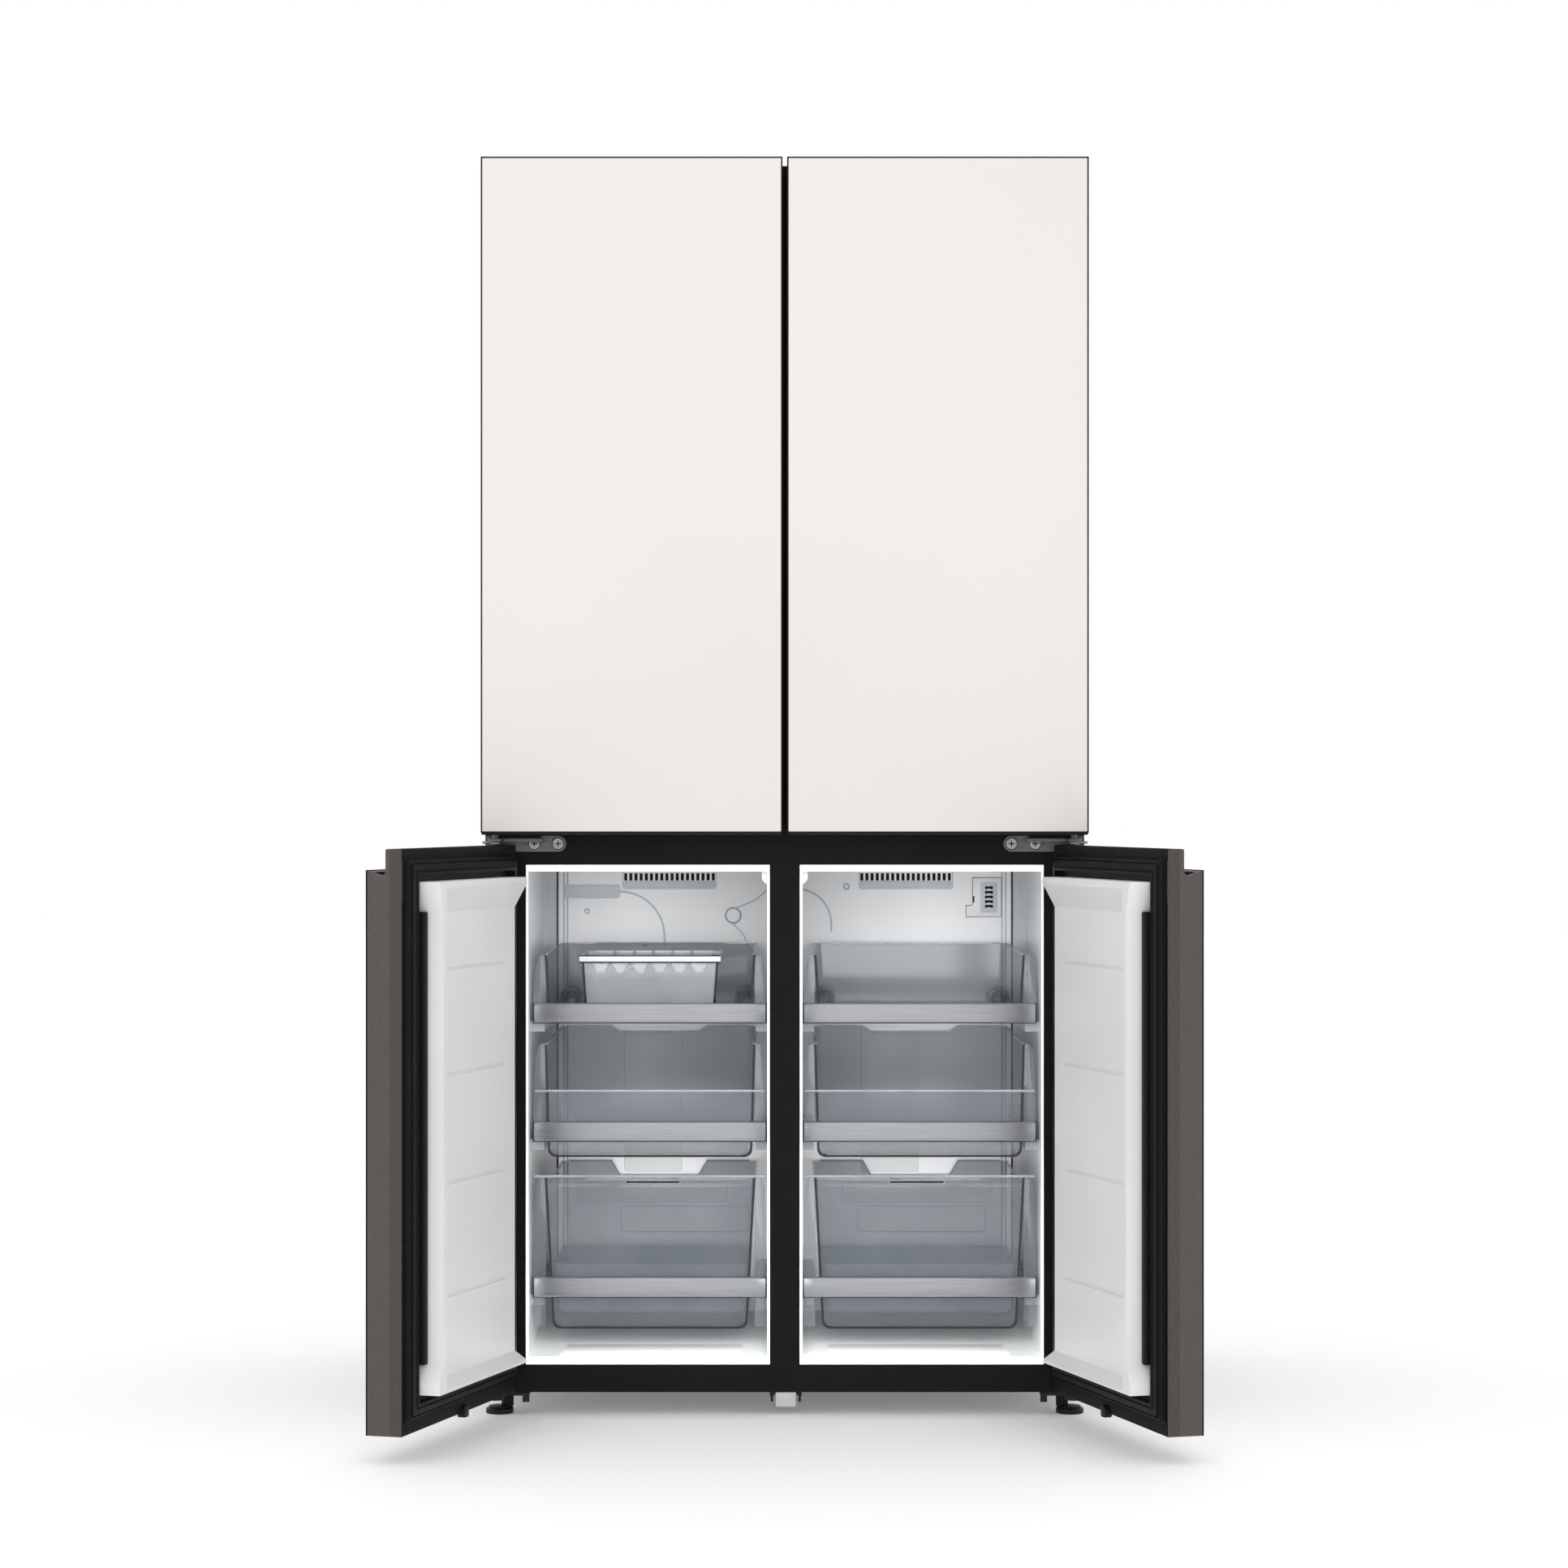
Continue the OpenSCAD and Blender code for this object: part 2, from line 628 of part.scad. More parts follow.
module ice_bin() color("#d5dadd") place() {
    floor_z = bin_z[2] + bin_t + 0.5;
    difference() {
        block([-310, -103], [190, 400], [floor_z, 680]);
        block([-307, -106], [193, 397], [floor_z + 3, 700]);
    }
    difference() {
        block([-316, -97], [184, 406], [680, 690]);
        for (i = [0:5]) for (j = [0:2])
            block([-300 + i * 33, -274 + i * 33], [200 + j * 66, 258 + j * 66], [683, 700]);
    }
}

// ---------- nodes ----------

outer_case();
rear_panel();
machine_cover();
base_frame();
insulation();
fridge_liner();
freezer_liner();
front_frame();
mid_beam();
lower_mullion();
upper_mullion();
freezer_back_covers();
evaporator();
compressor();
condenser();
top_hinges();
mid_hinges();
bottom_hinges();
levelling_feet();
screws();
drawer_rails();
shelves();
crispers();
centre_block();
rear_rollers();
freezer_fan();
condenser_fan();
glass_panel(LEFT, upper_z0, upper_z1);  // upper_left_glass
upper_frame(LEFT);  // upper_left_frame
upper_liner(LEFT);  // upper_left_liner
gasket(LEFT, 889, 1864);  // upper_left_gasket
upper_bins(LEFT);  // upper_left_bins
glass_panel(RIGHT, upper_z0, upper_z1);  // upper_right_glass
upper_frame(RIGHT);  // upper_right_frame
upper_liner(RIGHT);  // upper_right_liner
gasket(RIGHT, 889, 1864);  // upper_right_gasket
upper_bins(RIGHT);  // upper_right_bins
glass_panel(LEFT, lower_z0, lower_front_z1, open_angle);  // lower_left_glass
lower_frame(LEFT);  // lower_left_frame
lower_liner(LEFT);  // lower_left_liner
gasket(LEFT, 48, 847, open_angle);  // lower_left_gasket
glass_panel(RIGHT, lower_z0, lower_front_z1, open_angle);  // lower_right_glass
lower_frame(RIGHT);  // lower_right_frame
lower_liner(RIGHT);  // lower_right_liner
gasket(RIGHT, 48, 847, open_angle);  // lower_right_gasket
drawer_bin(LEFT, 0);  // left_bottom_bin
drawer_bar(LEFT, 0);  // left_bottom_bar
drawer_bin(LEFT, 1);  // left_middle_bin
drawer_bar(LEFT, 1);  // left_middle_bar
drawer_bin(LEFT, 2);  // left_top_bin
drawer_bar(LEFT, 2);  // left_top_bar
drawer_bin(RIGHT, 0);  // right_bottom_bin
drawer_bar(RIGHT, 0);  // right_bottom_bar
drawer_bin(RIGHT, 1);  // right_middle_bin
drawer_bar(RIGHT, 1);  // right_middle_bar
drawer_bin(RIGHT, 2);  // right_top_bin
drawer_bar(RIGHT, 2);  // right_top_bar
inner_tray(LEFT);  // left_inner_tray
inner_tray(RIGHT);  // right_inner_tray
ice_bin();
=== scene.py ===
import json
import math
import bmesh
import bpy
from mathutils import Matrix, Vector

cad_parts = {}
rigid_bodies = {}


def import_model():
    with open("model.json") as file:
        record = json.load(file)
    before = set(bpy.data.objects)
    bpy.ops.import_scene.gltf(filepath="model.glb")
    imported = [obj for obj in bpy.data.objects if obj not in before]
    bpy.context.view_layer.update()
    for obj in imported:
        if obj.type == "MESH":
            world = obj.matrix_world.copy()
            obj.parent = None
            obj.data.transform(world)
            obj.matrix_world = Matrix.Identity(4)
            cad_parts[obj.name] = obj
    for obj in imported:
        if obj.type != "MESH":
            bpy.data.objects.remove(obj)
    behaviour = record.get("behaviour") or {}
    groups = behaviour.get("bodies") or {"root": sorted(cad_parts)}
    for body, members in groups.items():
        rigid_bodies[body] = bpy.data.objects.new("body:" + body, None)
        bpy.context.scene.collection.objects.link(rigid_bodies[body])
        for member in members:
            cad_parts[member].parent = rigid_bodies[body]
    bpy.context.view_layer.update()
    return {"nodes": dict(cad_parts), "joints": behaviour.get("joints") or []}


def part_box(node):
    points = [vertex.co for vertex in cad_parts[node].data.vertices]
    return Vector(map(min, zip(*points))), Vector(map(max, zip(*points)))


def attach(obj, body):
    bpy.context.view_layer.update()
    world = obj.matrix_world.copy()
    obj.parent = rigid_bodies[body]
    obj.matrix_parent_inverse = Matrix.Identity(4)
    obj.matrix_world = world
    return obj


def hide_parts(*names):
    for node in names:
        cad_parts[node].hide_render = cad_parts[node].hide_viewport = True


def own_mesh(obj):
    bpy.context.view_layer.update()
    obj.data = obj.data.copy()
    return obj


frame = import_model()

# ---------------------------------------------------------------- places and sizes
# Lengths are millimetres. x runs to the right, z up from the floor, and depth is counted
# backwards from the front faces of the closed doors.
MM = 0.001
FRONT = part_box("upper_left_glass")[0].y
JOINTS = {joint["name"]: joint for joint in frame["joints"]}
LOWER_HINGE = JOINTS["lower_left_door_hinge"]
PIN_X = -LOWER_HINGE["pos_m"][0]
PIN_Y = LOWER_HINGE["pos_m"][1]
OPEN_ANGLE = math.radians(-LOWER_HINGE["range_deg"][0])
SIDES = ("left", "right")
LEVELS = ("bottom", "middle", "top")


def place(x, depth, z):
    """A point in the frame, in metres."""
    return Vector((x * MM, FRONT + depth * MM, z * MM))


def reach(node):
    """A CAD node's x, depth and z ranges in millimetres."""
    low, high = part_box(node)
    return ((low.x / MM, high.x / MM), ((low.y - FRONT) / MM, (high.y - FRONT) / MM),
            (low.z / MM, high.z / MM))


# ---------------------------------------------------------------- modelling by hand
def take(piece):
    """Makes one piece the only selected and the active one."""
    if bpy.context.object and bpy.context.object.mode != "OBJECT":
        bpy.ops.object.mode_set(mode="OBJECT")
    bpy.ops.object.select_all(action="DESELECT")
    piece.select_set(True)
    bpy.context.view_layer.objects.active = piece


def pick(piece, kind, test):
    """Goes into edit mode with only the faces, edges or verts selected for which test is true."""
    take(piece)
    bpy.ops.object.mode_set(mode="EDIT")
    bpy.ops.mesh.select_mode(type={"faces": "FACE", "edges": "EDGE", "verts": "VERT"}[kind])
    bpy.ops.mesh.select_all(action="DESELECT")
    mesh = bmesh.from_edit_mesh(piece.data)
    for part in getattr(mesh, kind):
        if test(part):
            part.select_set(True)
    mesh.select_flush_mode()
    bmesh.update_edit_mesh(piece.data)


def done():
    bpy.ops.object.mode_set(mode="OBJECT")


def modify(piece, kind, **settings):
    """Adds a modifier and applies it."""
    take(piece)
    made = piece.modifiers.new(kind.title(), kind)
    for key, value in settings.items():
        setattr(made, key, value)
    bpy.ops.object.modifier_apply(modifier=made.name)
    return piece


def round_edges(piece, width, segments=3, angle=30):
    return modify(piece, "BEVEL", width=width * MM, segments=segments, limit_method="ANGLE",
                  angle_limit=math.radians(angle), use_clamp_overlap=True)


def block(x, depth, z, rounding=0.0, segments=3):
    """A block given by its ranges in millimetres, with rounded edges."""
    low, high = place(x[0], depth[0], z[0]), place(x[1], depth[1], z[1])
    bpy.ops.mesh.primitive_cube_add(size=1, location=(low + high) / 2)
    made = bpy.context.object
    made.scale = high - low
    bpy.ops.object.transform_apply(location=True, rotation=True, scale=True)
    return round_edges(made, rounding, segments) if rounding else made


def rod(centre, radius, length, axis="z", sides=32, rounding=0.0):
    """A round bar from centre (x, depth, z) along an axis."""
    turn = {"x": (0, math.pi / 2, 0), "y": (-math.pi / 2, 0, 0), "z": (0, 0, 0)}[axis]
    step = {"x": Vector((1, 0, 0)), "y": Vector((0, 1, 0)), "z": Vector((0, 0, 1))}[axis]
    middle = place(*centre) + step * length * MM / 2
    bpy.ops.mesh.primitive_cylinder_add(vertices=sides, radius=radius * MM, depth=length * MM,
                                        location=middle, rotation=turn)
    bpy.ops.object.transform_apply(location=True, rotation=True, scale=True)
    made = bpy.context.object
    return round_edges(made, rounding, 3, 40) if rounding else made


def outline(points, start, end, axis="x", rounding=0.0, segments=3):
    """A solid drawn from an outline across an axis: (depth, z), (x, z) or (x, depth) points."""
    bpy.ops.mesh.primitive_circle_add(vertices=len(points), radius=MM, fill_type="NGON")
    made = bpy.context.object
    bpy.ops.object.transform_apply(location=True, rotation=True, scale=True)
    for vert, point in zip(made.data.vertices, points):
        spots = {"x": (start, *point), "y": (point[0], start, point[1]), "z": (*point, start)}
        vert.co = place(*spots[axis])
    length = (end - start) * MM
    bpy.ops.object.mode_set(mode="EDIT")
    bpy.ops.mesh.select_all(action="SELECT")
    move = {"x": (length, 0, 0), "y": (0, length, 0), "z": (0, 0, length)}[axis]
    bpy.ops.mesh.extrude_region_move(TRANSFORM_OT_translate={"value": move})
    bpy.ops.mesh.select_all(action="SELECT")
    bpy.ops.mesh.normals_make_consistent(inside=False)
    done()
    return round_edges(made, rounding, segments) if rounding else made


def ring(centre, radius, wire):
    """A raised ring on a wall that faces the front."""
    bpy.ops.mesh.primitive_torus_add(major_radius=radius * MM, minor_radius=wire * MM,
                                     major_segments=48, minor_segments=8,
                                     location=place(*centre), rotation=(math.pi / 2, 0, 0))
    bpy.ops.object.transform_apply(location=True, rotation=True, scale=True)
    return bpy.context.object


def arc(centre, radius, start, end, steps=12):
    """Points along an arc, its angles in degrees from the x axis."""
    turns = [math.radians(start + (end - start) * i / steps) for i in range(steps + 1)]
    return [(centre[0] + radius * math.cos(a), centre[1] + radius * math.sin(a)) for a in turns]


def rounded(x, z, radius):
    """The outline of a rectangle with round corners."""
    corners = ((x[1], z[0], 1, -1, -90), (x[1], z[1], 1, 1, 0),
               (x[0], z[1], -1, 1, 90), (x[0], z[0], -1, -1, 180))
    points = []
    for corner_x, corner_z, to_x, to_z, start in corners:
        centre = (corner_x - to_x * radius, corner_z - to_z * radius)
        points += arc(centre, radius, start, start + 90, 5)
    return points


def ribbon(points, width, start, end, rounding=0.0):
    """A raised line of an even width along (x, z) points, drawn between two depths."""
    one, other = [], []
    for i, (x, z) in enumerate(points):
        before, after = points[max(i - 1, 0)], points[min(i + 1, len(points) - 1)]
        run = Vector((after[0] - before[0], after[1] - before[1])).normalized() * width / 2
        one.append((x - run.y, z + run.x))
        other.append((x + run.y, z - run.x))
    return outline(one + other[::-1], start, end, "y", rounding, 2)


def row_of(piece, count, step):
    """Copies a piece count times along x, step millimetres apart."""
    return modify(piece, "ARRAY", count=count, use_relative_offset=False,
                  use_constant_offset=True, constant_offset_displace=(step * MM, 0, 0))


def join(pieces):
    """Makes one piece out of several."""
    take(pieces[0])
    for piece in pieces[1:]:
        piece.select_set(True)
    bpy.ops.object.join()
    return pieces[0]


def cut(piece, axis, *places):
    """Adds an edge all round a piece where x, depth or z has each value."""
    for value in places:
        pick(piece, "verts", lambda vert: True)
        point = {"x": place(value, 0, 0), "depth": place(0, value, 0), "z": place(0, 0, value)}
        normal = {"x": (1, 0, 0), "depth": (0, 1, 0), "z": (0, 0, 1)}
        bpy.ops.mesh.bisect(plane_co=point[axis], plane_no=normal[axis])
        done()


def middle_of(face):
    """A face's middle as (x, depth, z) in millimetres."""
    point = face.calc_center_median()
    return point.x / MM, (point.y - FRONT) / MM, point.z / MM


def spot_of(vert):
    """A vertex as (x, depth, z) in millimetres."""
    return vert.co.x / MM, (vert.co.y - FRONT) / MM, vert.co.z / MM


def push(x=0.0, depth=0.0, z=0.0):
    bpy.ops.mesh.extrude_region_move(
        TRANSFORM_OT_translate={"value": (x * MM, depth * MM, z * MM)})


def shift(x=0.0, depth=0.0, z=0.0):
    bpy.ops.transform.translate(value=(x * MM, depth * MM, z * MM))


def face_outwards(piece):
    """Turns a closed piece's faces over if they point inwards."""
    mesh = bmesh.new()
    mesh.from_mesh(piece.data)
    inside_out = mesh.calc_volume(signed=True) < 0
    mesh.free()
    if inside_out:
        take(piece)
        bpy.ops.object.mode_set(mode="EDIT")
        bpy.ops.mesh.select_all(action="SELECT")
        bpy.ops.mesh.flip_normals()
        done()


def fit(piece, name, body, finish, side="left", swung=False, stands_for=(), angle=35):
    """Puts a piece, modelled on the left with its door shut, in its final place on its body."""
    take(piece)
    if side == "right":
        piece.scale.x = -1
        bpy.ops.object.transform_apply(location=True, rotation=True, scale=True)
    if swung:
        sign = -1 if side == "left" else 1
        pin = Matrix.Translation((sign * PIN_X, PIN_Y, 0))
        turn = Matrix.Rotation(sign * OPEN_ANGLE, 4, "Z")
        piece.matrix_world = pin @ turn @ pin.inverted() @ piece.matrix_world
        bpy.ops.object.transform_apply(location=True, rotation=True, scale=True)
    face_outwards(piece)
    take(piece)
    bpy.ops.object.shade_smooth_by_angle(angle=math.radians(angle))
    piece.name = name
    piece.data.name = name
    piece.data.materials.clear()
    piece.data.materials.append(finish)
    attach(piece, body)
    if stands_for:
        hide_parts(*stands_for)
    return piece


# ---------------------------------------------------------------- materials
def linear(colour):
    """An sRGB hex colour as linear RGBA."""
    parts = [int(colour[i:i + 2], 16) / 255 for i in (1, 3, 5)]
    return tuple(c / 12.92 if c <= 0.04045 else ((c + 0.055) / 1.055) ** 2.4
                 for c in parts) + (1,)


def add_node(tree, kind, settings=(), links=()):
    """Adds a node with its settings, which are properties or input values, and its links."""
    made = tree.nodes.new(kind)
    for key, value in dict(settings).items():
        if isinstance(key, str) and hasattr(made, key):
            setattr(made, key, value)
        else:
            made.inputs[key].default_value = value
    for key, source in dict(links).items():
        tree.links.new(source, made.inputs[key])
    return made


def finish(name, colour, roughness, metallic=0.0, **more):
    """Starts a material: its shader's values, and object coordinates for its patterns."""
    made = bpy.data.materials.new(name)
    made.use_nodes = True
    tree = made.node_tree
    shader = tree.nodes["Principled BSDF"]
    shader.inputs["Base Color"].default_value = linear(colour)
    shader.inputs["Roughness"].default_value = roughness
    shader.inputs["Metallic"].default_value = metallic
    for key, value in more.items():
        shader.inputs[key.replace("_", " ")].default_value = value
    spots = add_node(tree, "ShaderNodeTexCoord")
    return made, tree, shader, spots.outputs["Object"]


def grains(tree, spots, size, stretch=(1, 1, 1), detail=2.0):
    """Noise whose grains are size millimetres wide, stretched along x, y and z."""
    mapping = add_node(tree, "ShaderNodeMapping",
                       {"Scale": [1 / (size * MM * s) for s in stretch]}, {"Vector": spots})
    return add_node(tree, "ShaderNodeTexNoise", {"Scale": 1.0, "Detail": detail},
                    {"Vector": mapping.outputs["Vector"]}).outputs["Fac"]


def relief(tree, shader, height, strength, distance):
    """Bump from a height pattern; distance is its depth in millimetres."""
    bump = add_node(tree, "ShaderNodeBump", {"Strength": strength, "Distance": distance * MM},
                    {"Height": height})
    tree.links.new(bump.outputs["Normal"], shader.inputs["Normal"])


def shades(tree, shader, pattern, dark, light):
    """Colour between two shades along a pattern."""
    ramp = add_node(tree, "ShaderNodeValToRGB", {}, {"Fac": pattern})
    ramp.color_ramp.elements[0].position = 0.3
    ramp.color_ramp.elements[1].position = 0.7
    ramp.color_ramp.elements[0].color = linear(dark)
    ramp.color_ramp.elements[1].color = linear(light)
    tree.links.new(ramp.outputs["Color"], shader.inputs["Base Color"])


def wear(tree, shader, pattern, low, high):
    """Roughness between two values along a pattern."""
    spread = add_node(tree, "ShaderNodeMapRange",
                      {"From Min": 0.3, "From Max": 0.7, "To Min": low, "To Max": high},
                      {"Value": pattern})
    tree.links.new(spread.outputs["Result"], shader.inputs["Roughness"])


def back_painted_glass():
    """Tempered glass painted cream on its back: a deep even colour under a clear satin face."""
    made, tree, shader, spots = finish("cream_back_painted_glass", "#EBE6E2", 0.34,
                                       Coat_Weight=0.35, Coat_Roughness=0.12)
    cloud = grains(tree, spots, 420, detail=1.0)
    shades(tree, shader, cloud, "#EAE5E1", "#EDE8E4")
    relief(tree, shader, grains(tree, spots, 1.5), 0.02, 0.05)
    return made


def precoated_steel(name, dark, light, grain=0.5):
    """Pre-coated sheet steel: warm dark paint with metal flake and a fine satin grain."""
    made, tree, shader, spots = finish(name, light, 0.42, 0.2, Specular_IOR_Level=0.25)
    shades(tree, shader, grains(tree, spots, 4.0, detail=4.0), dark, light)
    wear(tree, shader, grains(tree, spots, 30), 0.36, 0.48)
    relief(tree, shader, grains(tree, spots, grain), 0.12, 0.06)
    return made


def black_enamel():
    """Baked black enamel on sheet steel: almost black, with a soft bluish sheen."""
    made, tree, shader, spots = finish("black_baked_enamel", "#141418", 0.5,
                                       Specular_IOR_Level=0.12)
    shades(tree, shader, grains(tree, spots, 90), "#131316", "#17171B")
    relief(tree, shader, grains(tree, spots, 1.2), 0.08, 0.05)
    return made


def formed_polystyrene(name, dark, light, roughness, **more):
    """Vacuum-formed polystyrene: smooth, slightly wavy, softly glossy sheet."""
    made, tree, shader, spots = finish(name, light, roughness, **more)
    shades(tree, shader, grains(tree, spots, 160, detail=1.0), dark, light)
    wear(tree, shader, grains(tree, spots, 260, detail=0.0), roughness - 0.02, roughness + 0.02)
    relief(tree, shader, grains(tree, spots, 1.5), 0.03, 0.02)
    return made


def extruded_pvc():
    """Extruded soft PVC of the door seals: black, faintly streaked along its length."""
    made, tree, shader, spots = finish("black_extruded_pvc", "#101014", 0.46,
                                       Specular_IOR_Level=0.14)
    shades(tree, shader, grains(tree, spots, 40, detail=1.0), "#0F0F13", "#131317")
    wear(tree, shader, grains(tree, spots, 90, detail=1.0), 0.44, 0.5)
    return made


def moulded_clear(name, dark, light, alpha, roughness=0.08):
    """Injection-moulded clear SAN plastic: tinted, glossy, with faint flow lines."""
    made, tree, shader, spots = finish(name, light, roughness, Alpha=alpha, IOR=1.57)
    shades(tree, shader, grains(tree, spots, 60, stretch=(1, 3, 1)), dark, light)
    relief(tree, shader, grains(tree, spots, 60, detail=1.0), 0.03, 0.2)
    return made


def brushed_aluminium():
    """Aluminium brushed along its length and clear anodised: long fine scratches."""
    made, tree, shader, spots = finish("brushed_anodised_aluminium", "#B0B1B3", 0.34, 0.85)
    brushing = grains(tree, spots, 0.7, stretch=(90, 1, 1), detail=3.0)
    shades(tree, shader, brushing, "#A3A5A8", "#BBBDC0")
    wear(tree, shader, brushing, 0.28, 0.42)
    relief(tree, shader, brushing, 0.1, 0.04)
    return made


def plated_steel(name, dark, light, roughness, metallic=1.0):
    """Zinc-plated or phosphated steel: cool metal with a cloudy, slightly spangled face."""
    made, tree, shader, spots = finish(name, light, roughness, metallic)
    shades(tree, shader, grains(tree, spots, 7, detail=3.0), dark, light)
    wear(tree, shader, grains(tree, spots, 3), roughness - 0.08, roughness + 0.1)
    return made


def moulded_plastic(name, dark, light, roughness, grain=0.8, **more):
    """Injection-moulded plastic with a fine spark-eroded grain."""
    made, tree, shader, spots = finish(name, light, roughness, **more)
    shades(tree, shader, grains(tree, spots, 20), dark, light)
    relief(tree, shader, grains(tree, spots, grain), 0.15, 0.08)
    return made


def blown_foam():
    """Blown polyurethane foam: straw-coloured, matte, full of small cells."""
    made, tree, shader, spots = finish("blown_polyurethane_foam", "#E3D3A0", 0.9)
    cells = add_node(tree, "ShaderNodeTexVoronoi", {"Scale": 1 / (3 * MM)}, {"Vector": spots})
    shades(tree, shader, cells.outputs["Distance"], "#D8C58C", "#EADCB0")
    relief(tree, shader, cells.outputs["Distance"], 0.5, 0.8)
    return made


def tempered_glass():
    """Tempered shelf glass: nearly clear with a green cast."""
    made, tree, shader, spots = finish("tempered_shelf_glass", "#CFE3DE", 0.05, Alpha=0.3)
    wear(tree, shader, grains(tree, spots, 80), 0.03, 0.08)
    return made


def lamp_diffuser():
    """Opal polycarbonate over the light emitting diodes: it glows a cool white."""
    made, tree, shader, spots = finish("opal_polycarbonate", "#FFFFFF", 0.5,
                                       Emission_Strength=2.0)
    shader.inputs["Emission Color"].default_value = linear("#F4F8FF")
    relief(tree, shader, grains(tree, spots, 2), 0.1, 0.1)
    return made


GLASS = back_painted_glass()
DOOR_EDGE = precoated_steel("warm_grey_precoated_steel", "#534E4B", "#5B5653")
DOOR_EDGE_REAR = precoated_steel("dark_precoated_steel", "#494543", "#504C4A")
CASE = precoated_steel("graphite_precoated_steel", "#5F5C59", "#686562", 0.8)
BLACK = black_enamel()
LINER = formed_polystyrene("white_formed_polystyrene", "#EDF0F1", "#F4F6F6", 0.3)
DOOR_LINER = formed_polystyrene("door_formed_polystyrene", "#EDEDED", "#F1F1F1", 0.36)
FREEZER_WALL = formed_polystyrene("freezer_wall_polystyrene", "#EBECEE", "#F1F2F4", 0.34)
# Relief mouldings on the freezer backs are painted a darker shade of the wall plastic: painted
# shade.
FREEZER_RELIEF_PAINTED_SHADE = formed_polystyrene("freezer_wall_relief", "#C6CDD1", "#CFD5D8", 0.4)
# The moulded lines, grille edges, panel edges and ribs of the freezer backs are painted in a darker
# tone: painted shade lines.
FREEZER_PAINTED_SHADE = formed_polystyrene("freezer_wall_moulded_line", "#AEB7BC", "#B8C0C5", 0.4)
SEAL = extruded_pvc()
SMOKE = moulded_clear("smoke_blue_san", "#737C84", "#7F888F", 0.28)
# The bins' rims, runners and grip surrounds are painted in a lighter, less clear copy of the smoke
# plastic: painted highlight.
SMOKE_PAINTED_HIGHLIGHT = moulded_clear("smoke_blue_san_rim", "#9CA6AE", "#B3BCC3", 0.55)
# Near-black for joints, caps and grips, and for the dark lines that light leaves along clear
# plastic edges, which are painted shade.
DARK_EDGE = moulded_clear("san_edge_line", "#15171A", "#1F2226", 1.0, 0.2)
CLEAR = moulded_clear("clear_san", "#DCE3E8", "#E8EEF1", 0.3)
RUNNER = moulded_plastic("runner_acetal", "#C3C8CB", "#CDD1D4", 0.4)
CRISPER_FRONT = moulded_clear("frosted_san", "#D5DBDF", "#E2E7EA", 0.75, 0.3)
LILAC = moulded_clear("lilac_san", "#A6A4B2", "#B3B1BE", 0.26)
ICE_CLEAR = moulded_clear("ice_bin_san", "#C9D0D6", "#DDE3E7", 0.2)
WHITE_PLASTIC = moulded_plastic("white_polypropylene", "#F2F4F5", "#FAFBFB", 0.35)
TRAY_PLASTIC = moulded_clear("frosted_tray_polypropylene", "#D6DADD", "#E2E5E8", 0.92, 0.3)
BAR = brushed_aluminium()
HINGE = plated_steel("grey_painted_hinge_steel", "#66666A", "#76767A", 0.42, 0.5)
HINGE_DARK = plated_steel("dark_phosphated_steel", "#1E1E21", "#29292C", 0.42, 0.5)
ZINC = plated_steel("bright_zinc", "#8F908F", "#ACADAB", 0.32)
GALVANISED = plated_steel("galvanised_sheet", "#9FA1A0", "#B4B5B3", 0.42, 0.8)
BLACK_PLASTIC = moulded_plastic("black_abs", "#141415", "#19181A", 0.45,
                                Specular_IOR_Level=0.25)
TRIM_PLASTIC = moulded_plastic("brown_black_abs", "#1A1715", "#1F1C1A", 0.6,
                               Specular_IOR_Level=0.1)
GREY_PLASTIC = moulded_plastic("light_grey_nylon", "#C7C8C4", "#D2D3CF", 0.42)
COVER_PLASTIC = moulded_plastic("charcoal_polypropylene", "#3A3B3D", "#434446", 0.55)
FOAM = blown_foam()
FINS = plated_steel("mill_aluminium_fins", "#AEB2B5", "#C4C8CA", 0.35)
COMPRESSOR = black_enamel()
SHELF = tempered_glass()
LAMP = lamp_diffuser()

INSIDE_FINISHES = (LINER, FREEZER_WALL, FREEZER_RELIEF_PAINTED_SHADE, FREEZER_PAINTED_SHADE, SMOKE, SMOKE_PAINTED_HIGHLIGHT, LILAC,
                   ICE_CLEAR, WHITE_PLASTIC, TRAY_PLASTIC, CRISPER_FRONT)

CAD_FINISHES = {
    CASE: ["outer_case"], GALVANISED: ["rear_panel", "base_frame"],
    COVER_PLASTIC: ["machine_cover"], FOAM: ["insulation"],
    LINER: ["fridge_liner", "freezer_liner"],
    BLACK: ["front_frame", "mid_beam", "lower_mullion", "upper_mullion"],
    FREEZER_WALL: ["freezer_back_covers"], RUNNER: ["drawer_rails"],
    FINS: ["evaporator", "condenser"],
    COMPRESSOR: ["compressor"], HINGE_DARK: ["top_hinges", "bottom_hinges"],
    HINGE: ["mid_hinges"], BLACK_PLASTIC: ["levelling_feet", "rear_rollers", "freezer_fan",
                                           "condenser_fan"],
    ZINC: ["screws"], SHELF: ["shelves"], GREY_PLASTIC: ["centre_block"],
    CLEAR: ["crispers", "upper_left_bins", "upper_right_bins"],
    GLASS: ["upper_left_glass", "upper_right_glass", "lower_left_glass", "lower_right_glass"],
    DOOR_EDGE: ["upper_left_frame", "upper_right_frame", "lower_left_frame",
                "lower_right_frame"],
    DOOR_LINER: ["upper_left_liner", "upper_right_liner", "lower_left_liner",
                 "lower_right_liner"],
    SEAL: ["upper_left_gasket", "upper_right_gasket", "lower_left_gasket",
           "lower_right_gasket"],
    SMOKE: [f"{side}_{level}_bin" for side in SIDES for level in LEVELS],
    BAR: [f"{side}_{level}_bar" for side in SIDES for level in LEVELS],
    LILAC: ["left_inner_tray", "right_inner_tray"], ICE_CLEAR: ["ice_bin"],
}
for material, nodes in CAD_FINISHES.items():
    for node in nodes:
        mesh = frame["nodes"][node].data
        mesh.materials.clear()
        mesh.materials.append(material)


